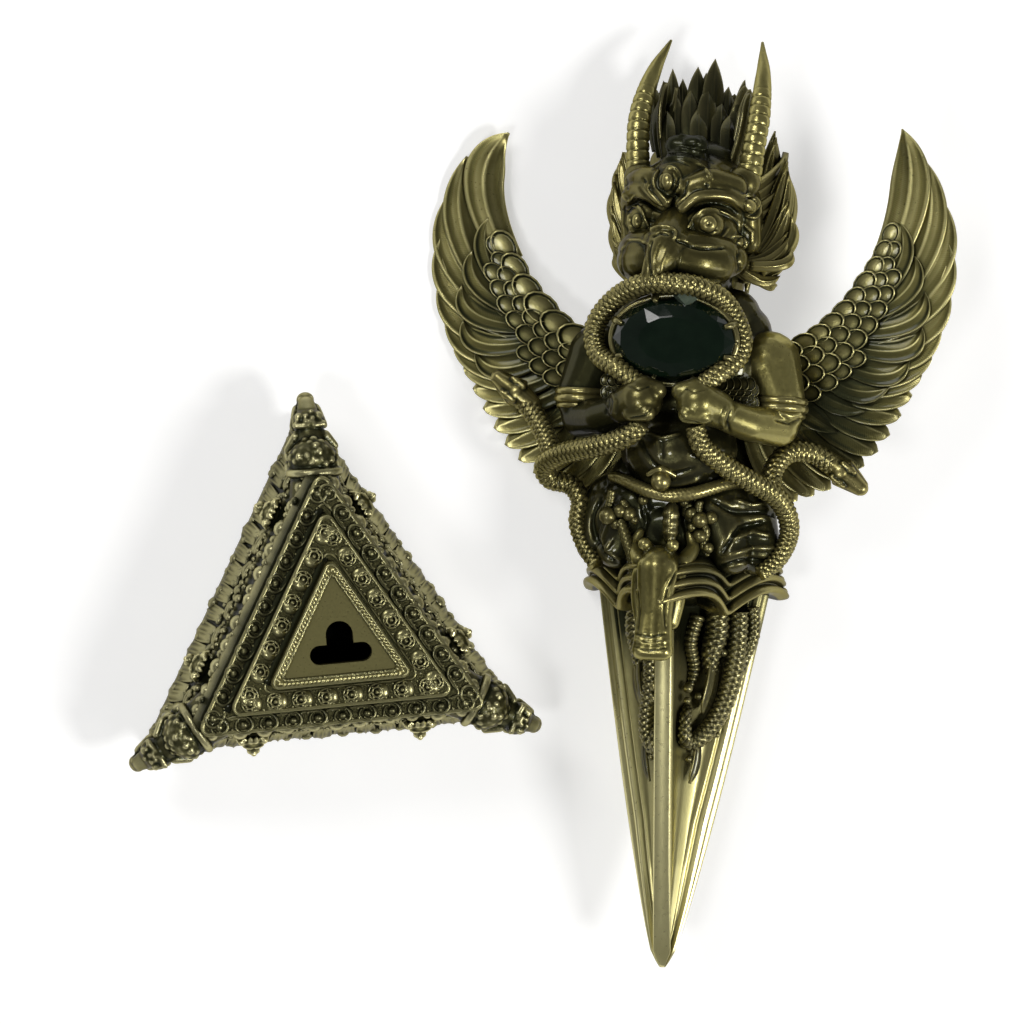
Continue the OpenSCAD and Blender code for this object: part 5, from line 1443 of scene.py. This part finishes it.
def make_stand():
    """Walls with leaves, scrolls and lions, corner heads, and the castings on the steps."""
    inner = [(1, 1), (0.6, 0.8), (0.3, 0.5), (0.08, 0.1)]
    rings = [tri_ring(FOOT - TOP_IN * w, 2.5, WALL_HIGH * h) for h, w in WALL]
    rings += [tri_ring(FOOT - TOP_IN * w - 3 - 3.2 * h, 1.2, WALL_HIGH * h) for h, w in inner]
    parts, faces = [loft(rings)], []
    face = lion_face()

    def spot(turn, u, h, lift=0.0):
        return np.array(at_side(turn, u, float(wall_reach(h)) + lift, WALL_HIGH * h))[:3, 3]
    for turn in SIDES:
        q = math.radians(turn)
        out = (math.cos(q), math.sin(q), 0.55)
        for u in np.linspace(-28, 28, 11):
            size = rng.uniform(1.5, 2.1)
            parts.append(ball(spot(turn, u + rng.uniform(-0.7, 0.7), 0.87, -0.7), (size, size, size), 14))
        for h, count, r in ((0.9, 15, 1.1), (0.77, 16, 1.5), (0.6, 18, 1.2), (0.42, 15, 1.7), (0.28, 17, 1.3),
                            (0.13, 18, 1.7)):
            for u in np.linspace(-1, 1, count) * (37 - 9 * h):
                size = r * rng.uniform(0.65, 1.15)
                parts.append(ball(spot(turn, u + rng.uniform(-0.8, 0.8), h + rng.uniform(-0.03, 0.03), -0.35),
                                  (size, size * rng.uniform(0.7, 1), size * rng.uniform(0.7, 1.3)), 10))
        for u in np.linspace(-38, 38, 16):
            wide, far = 5.2 * rng.uniform(0.75, 1.15), rng.uniform(-0.5, 0.3)
            parts.append(vane(
                spot(turn, u * 0.95, 0.32, -0.5), spot(turn, u, 0.18, 0.5), spot(turn, u * 1.01, 0.038, far), wide,
                2.0, up=out, steps=14, point=0.5, stem=0.8, quill=0.4, rim=0.3))
        for side in (-1, 1):
            for u, r in ((4.6, 2.3), (11.2, 2.6), (26.8, 2.4)):
                curl = [spot(turn, side * (u + (0.3 + r * a / 8.6) * math.cos(a)),
                             0.46 + (0.3 + r * a / 8.6) * math.sin(a) / WALL_HIGH, 0.35)
                        for a in np.linspace(0.3, 8.6, 26)]
                parts.append(coil(curl, [0.5, 0.75, 0.6], 0.4, 10))
            faces.append(face.put(at_side(turn, side * 19, float(wall_reach(0.56)) + 1.0, WALL_HIGH * 0.55)))
        parts.append(ball(spot(turn, 0, 0.5, 0.2), 1.6, 16))
        for a in np.arange(8) * math.pi / 4:
            parts.append(ball(spot(turn, 2.5 * math.cos(a), 0.5 + 2.5 * math.sin(a) / WALL_HIGH, 0.3), 0.7, 10))
        for u in np.linspace(-38, 38, 39):
            parts.append(ball(spot(turn, u, 0.585, 0.25), 0.62, 8))
    body = joined(parts)
    body.dark = 0.3 + 0.25 * np.clip(1 - body.v[:, 2] / 30, 0, 1) + 0.6 * np.clip(body.v[:, 2] - 30.4, 0, 1)
    put_down("stand_body", body, "stand", "wall_brass", ["stand_body"], place=STOOD, gain=4.0)
    put_down("stand_lions", joined(faces), "stand", "wall_brass", place=STOOD, gain=2.2)
    head = beast_head()
    head.dark = head.dark + 0.38
    for name, turn in (("stand_head_back", 90), ("stand_head_left", 210), ("stand_head_right", 330)):
        put_down(name, head, "stand", "wall_brass", [name], place=STOOD @ spin(turn), gain=2.4)
    edges = [
        rim(18.7, 1.6, 36.75, 0.5), rim(15.75, 1.4, 36.75, 0.3), rim(14.5, 1.6, 40.35, 0.45),
        rim(10.3, 1.4, 40.35, 0.28), rim(9.12, 1.3, 43.95, 0.34), rim(7.75, 0.9, 43.75, 0.36, beaded(0.9, 0.3))]
    # Painted shade: dark strips along the foot of each step, on the left side only
    shade = [rod([(*at_side(150, u, m, z).to_translation(), 0.9) for u in np.linspace(-wide, wide, 30)], 12, flat=0.5,
                 dark=1) for m, z, wide in ((15.3, 36.8, 25), (10.1, 40.4, 15.5))]
    put_down("tier_fillets", joined(shade), "stand", "dark_brass", place=ON_TIERS, gain=0)
    put_down("tier_rims", joined(edges), "stand", "stand_brass", place=ON_TIERS, gain=4)
    drops = [ON_TIERS @ at_side(turn, u, 17.15, 36.75) for turn in SIDES for u in np.linspace(-27.6, 27.6, 11)]
    cast_row("tier_drops", drop(), drops, "stand", "stand_brass", uneven=0.06)
    buds = [ON_TIERS @ at_side(turn, u, 12.4, 40.3) for turn in SIDES for u in np.linspace(-19.8, 19.8, 8)]
    cast_row("tier_buds", rosette(), buds, "stand", "stand_brass", uneven=0.06, seed=4)
    lines = ((18.15, 36.8, 29, 42, 1.0), (15.95, 36.8, 26, 38, 0.8), (13.95, 40.35, 21.5, 34, 0.9),
             (10.85, 40.35, 17, 26, 0.8))
    grains = [ON_TIERS @ at_side(turn, u, m, z) @ Matrix.Scale(k, 4) for turn in SIDES for m, z, wide, count,
              k in lines for u in np.linspace(-wide, wide, count)]
    cast_row("tier_grains", ball((0, 0, 0), (0.42, 0.42, 0.42), 6), grains, "stand", "stand_brass", uneven=0.6,
             seed=9)
    knots = []
    ring = np.vstack([tri_ring(8.5, 1.1, 43.95), tri_ring(8.5, 1.1, 43.95)[:1]])
    d = run_of(ring)
    for i in range(88):
        q = d[-1] * i / 88
        p = [np.interp(q, d, ring[:, k]) for k in range(3)]
        e = [np.interp(q + 0.3, d, ring[:, k]) - p[k] for k in range(2)]
        knots.append(ON_TIERS @ Matrix.Translation(p) @ Matrix.Rotation(math.atan2(e[1], e[0]) + 0.6, 4, "Z"))
    cast_row("top_knots", ball((0, 0, 0), (0.85, 0.42, 0.45), 8), knots, "stand", "top_brass", uneven=0.3, seed=7)
    # These three keep their CAD meshes and only take a finish
    for name, finish in (("stand_lower_tier", "tier_brass"), ("stand_upper_tier", "tier_brass"),
                         ("stand_top", "top_brass")):
        for held in bpy.data.objects[name].material_slots:
            held.material = FINISH[finish]


make_blade()
make_collar()
make_trunk()
make_arms()
make_stones()
make_belt()
make_head()
make_horns()
make_crest()
make_mane()
make_wing(-1, "left_wing")
make_wing(1, "right_wing")
make_serpents()
make_stand()
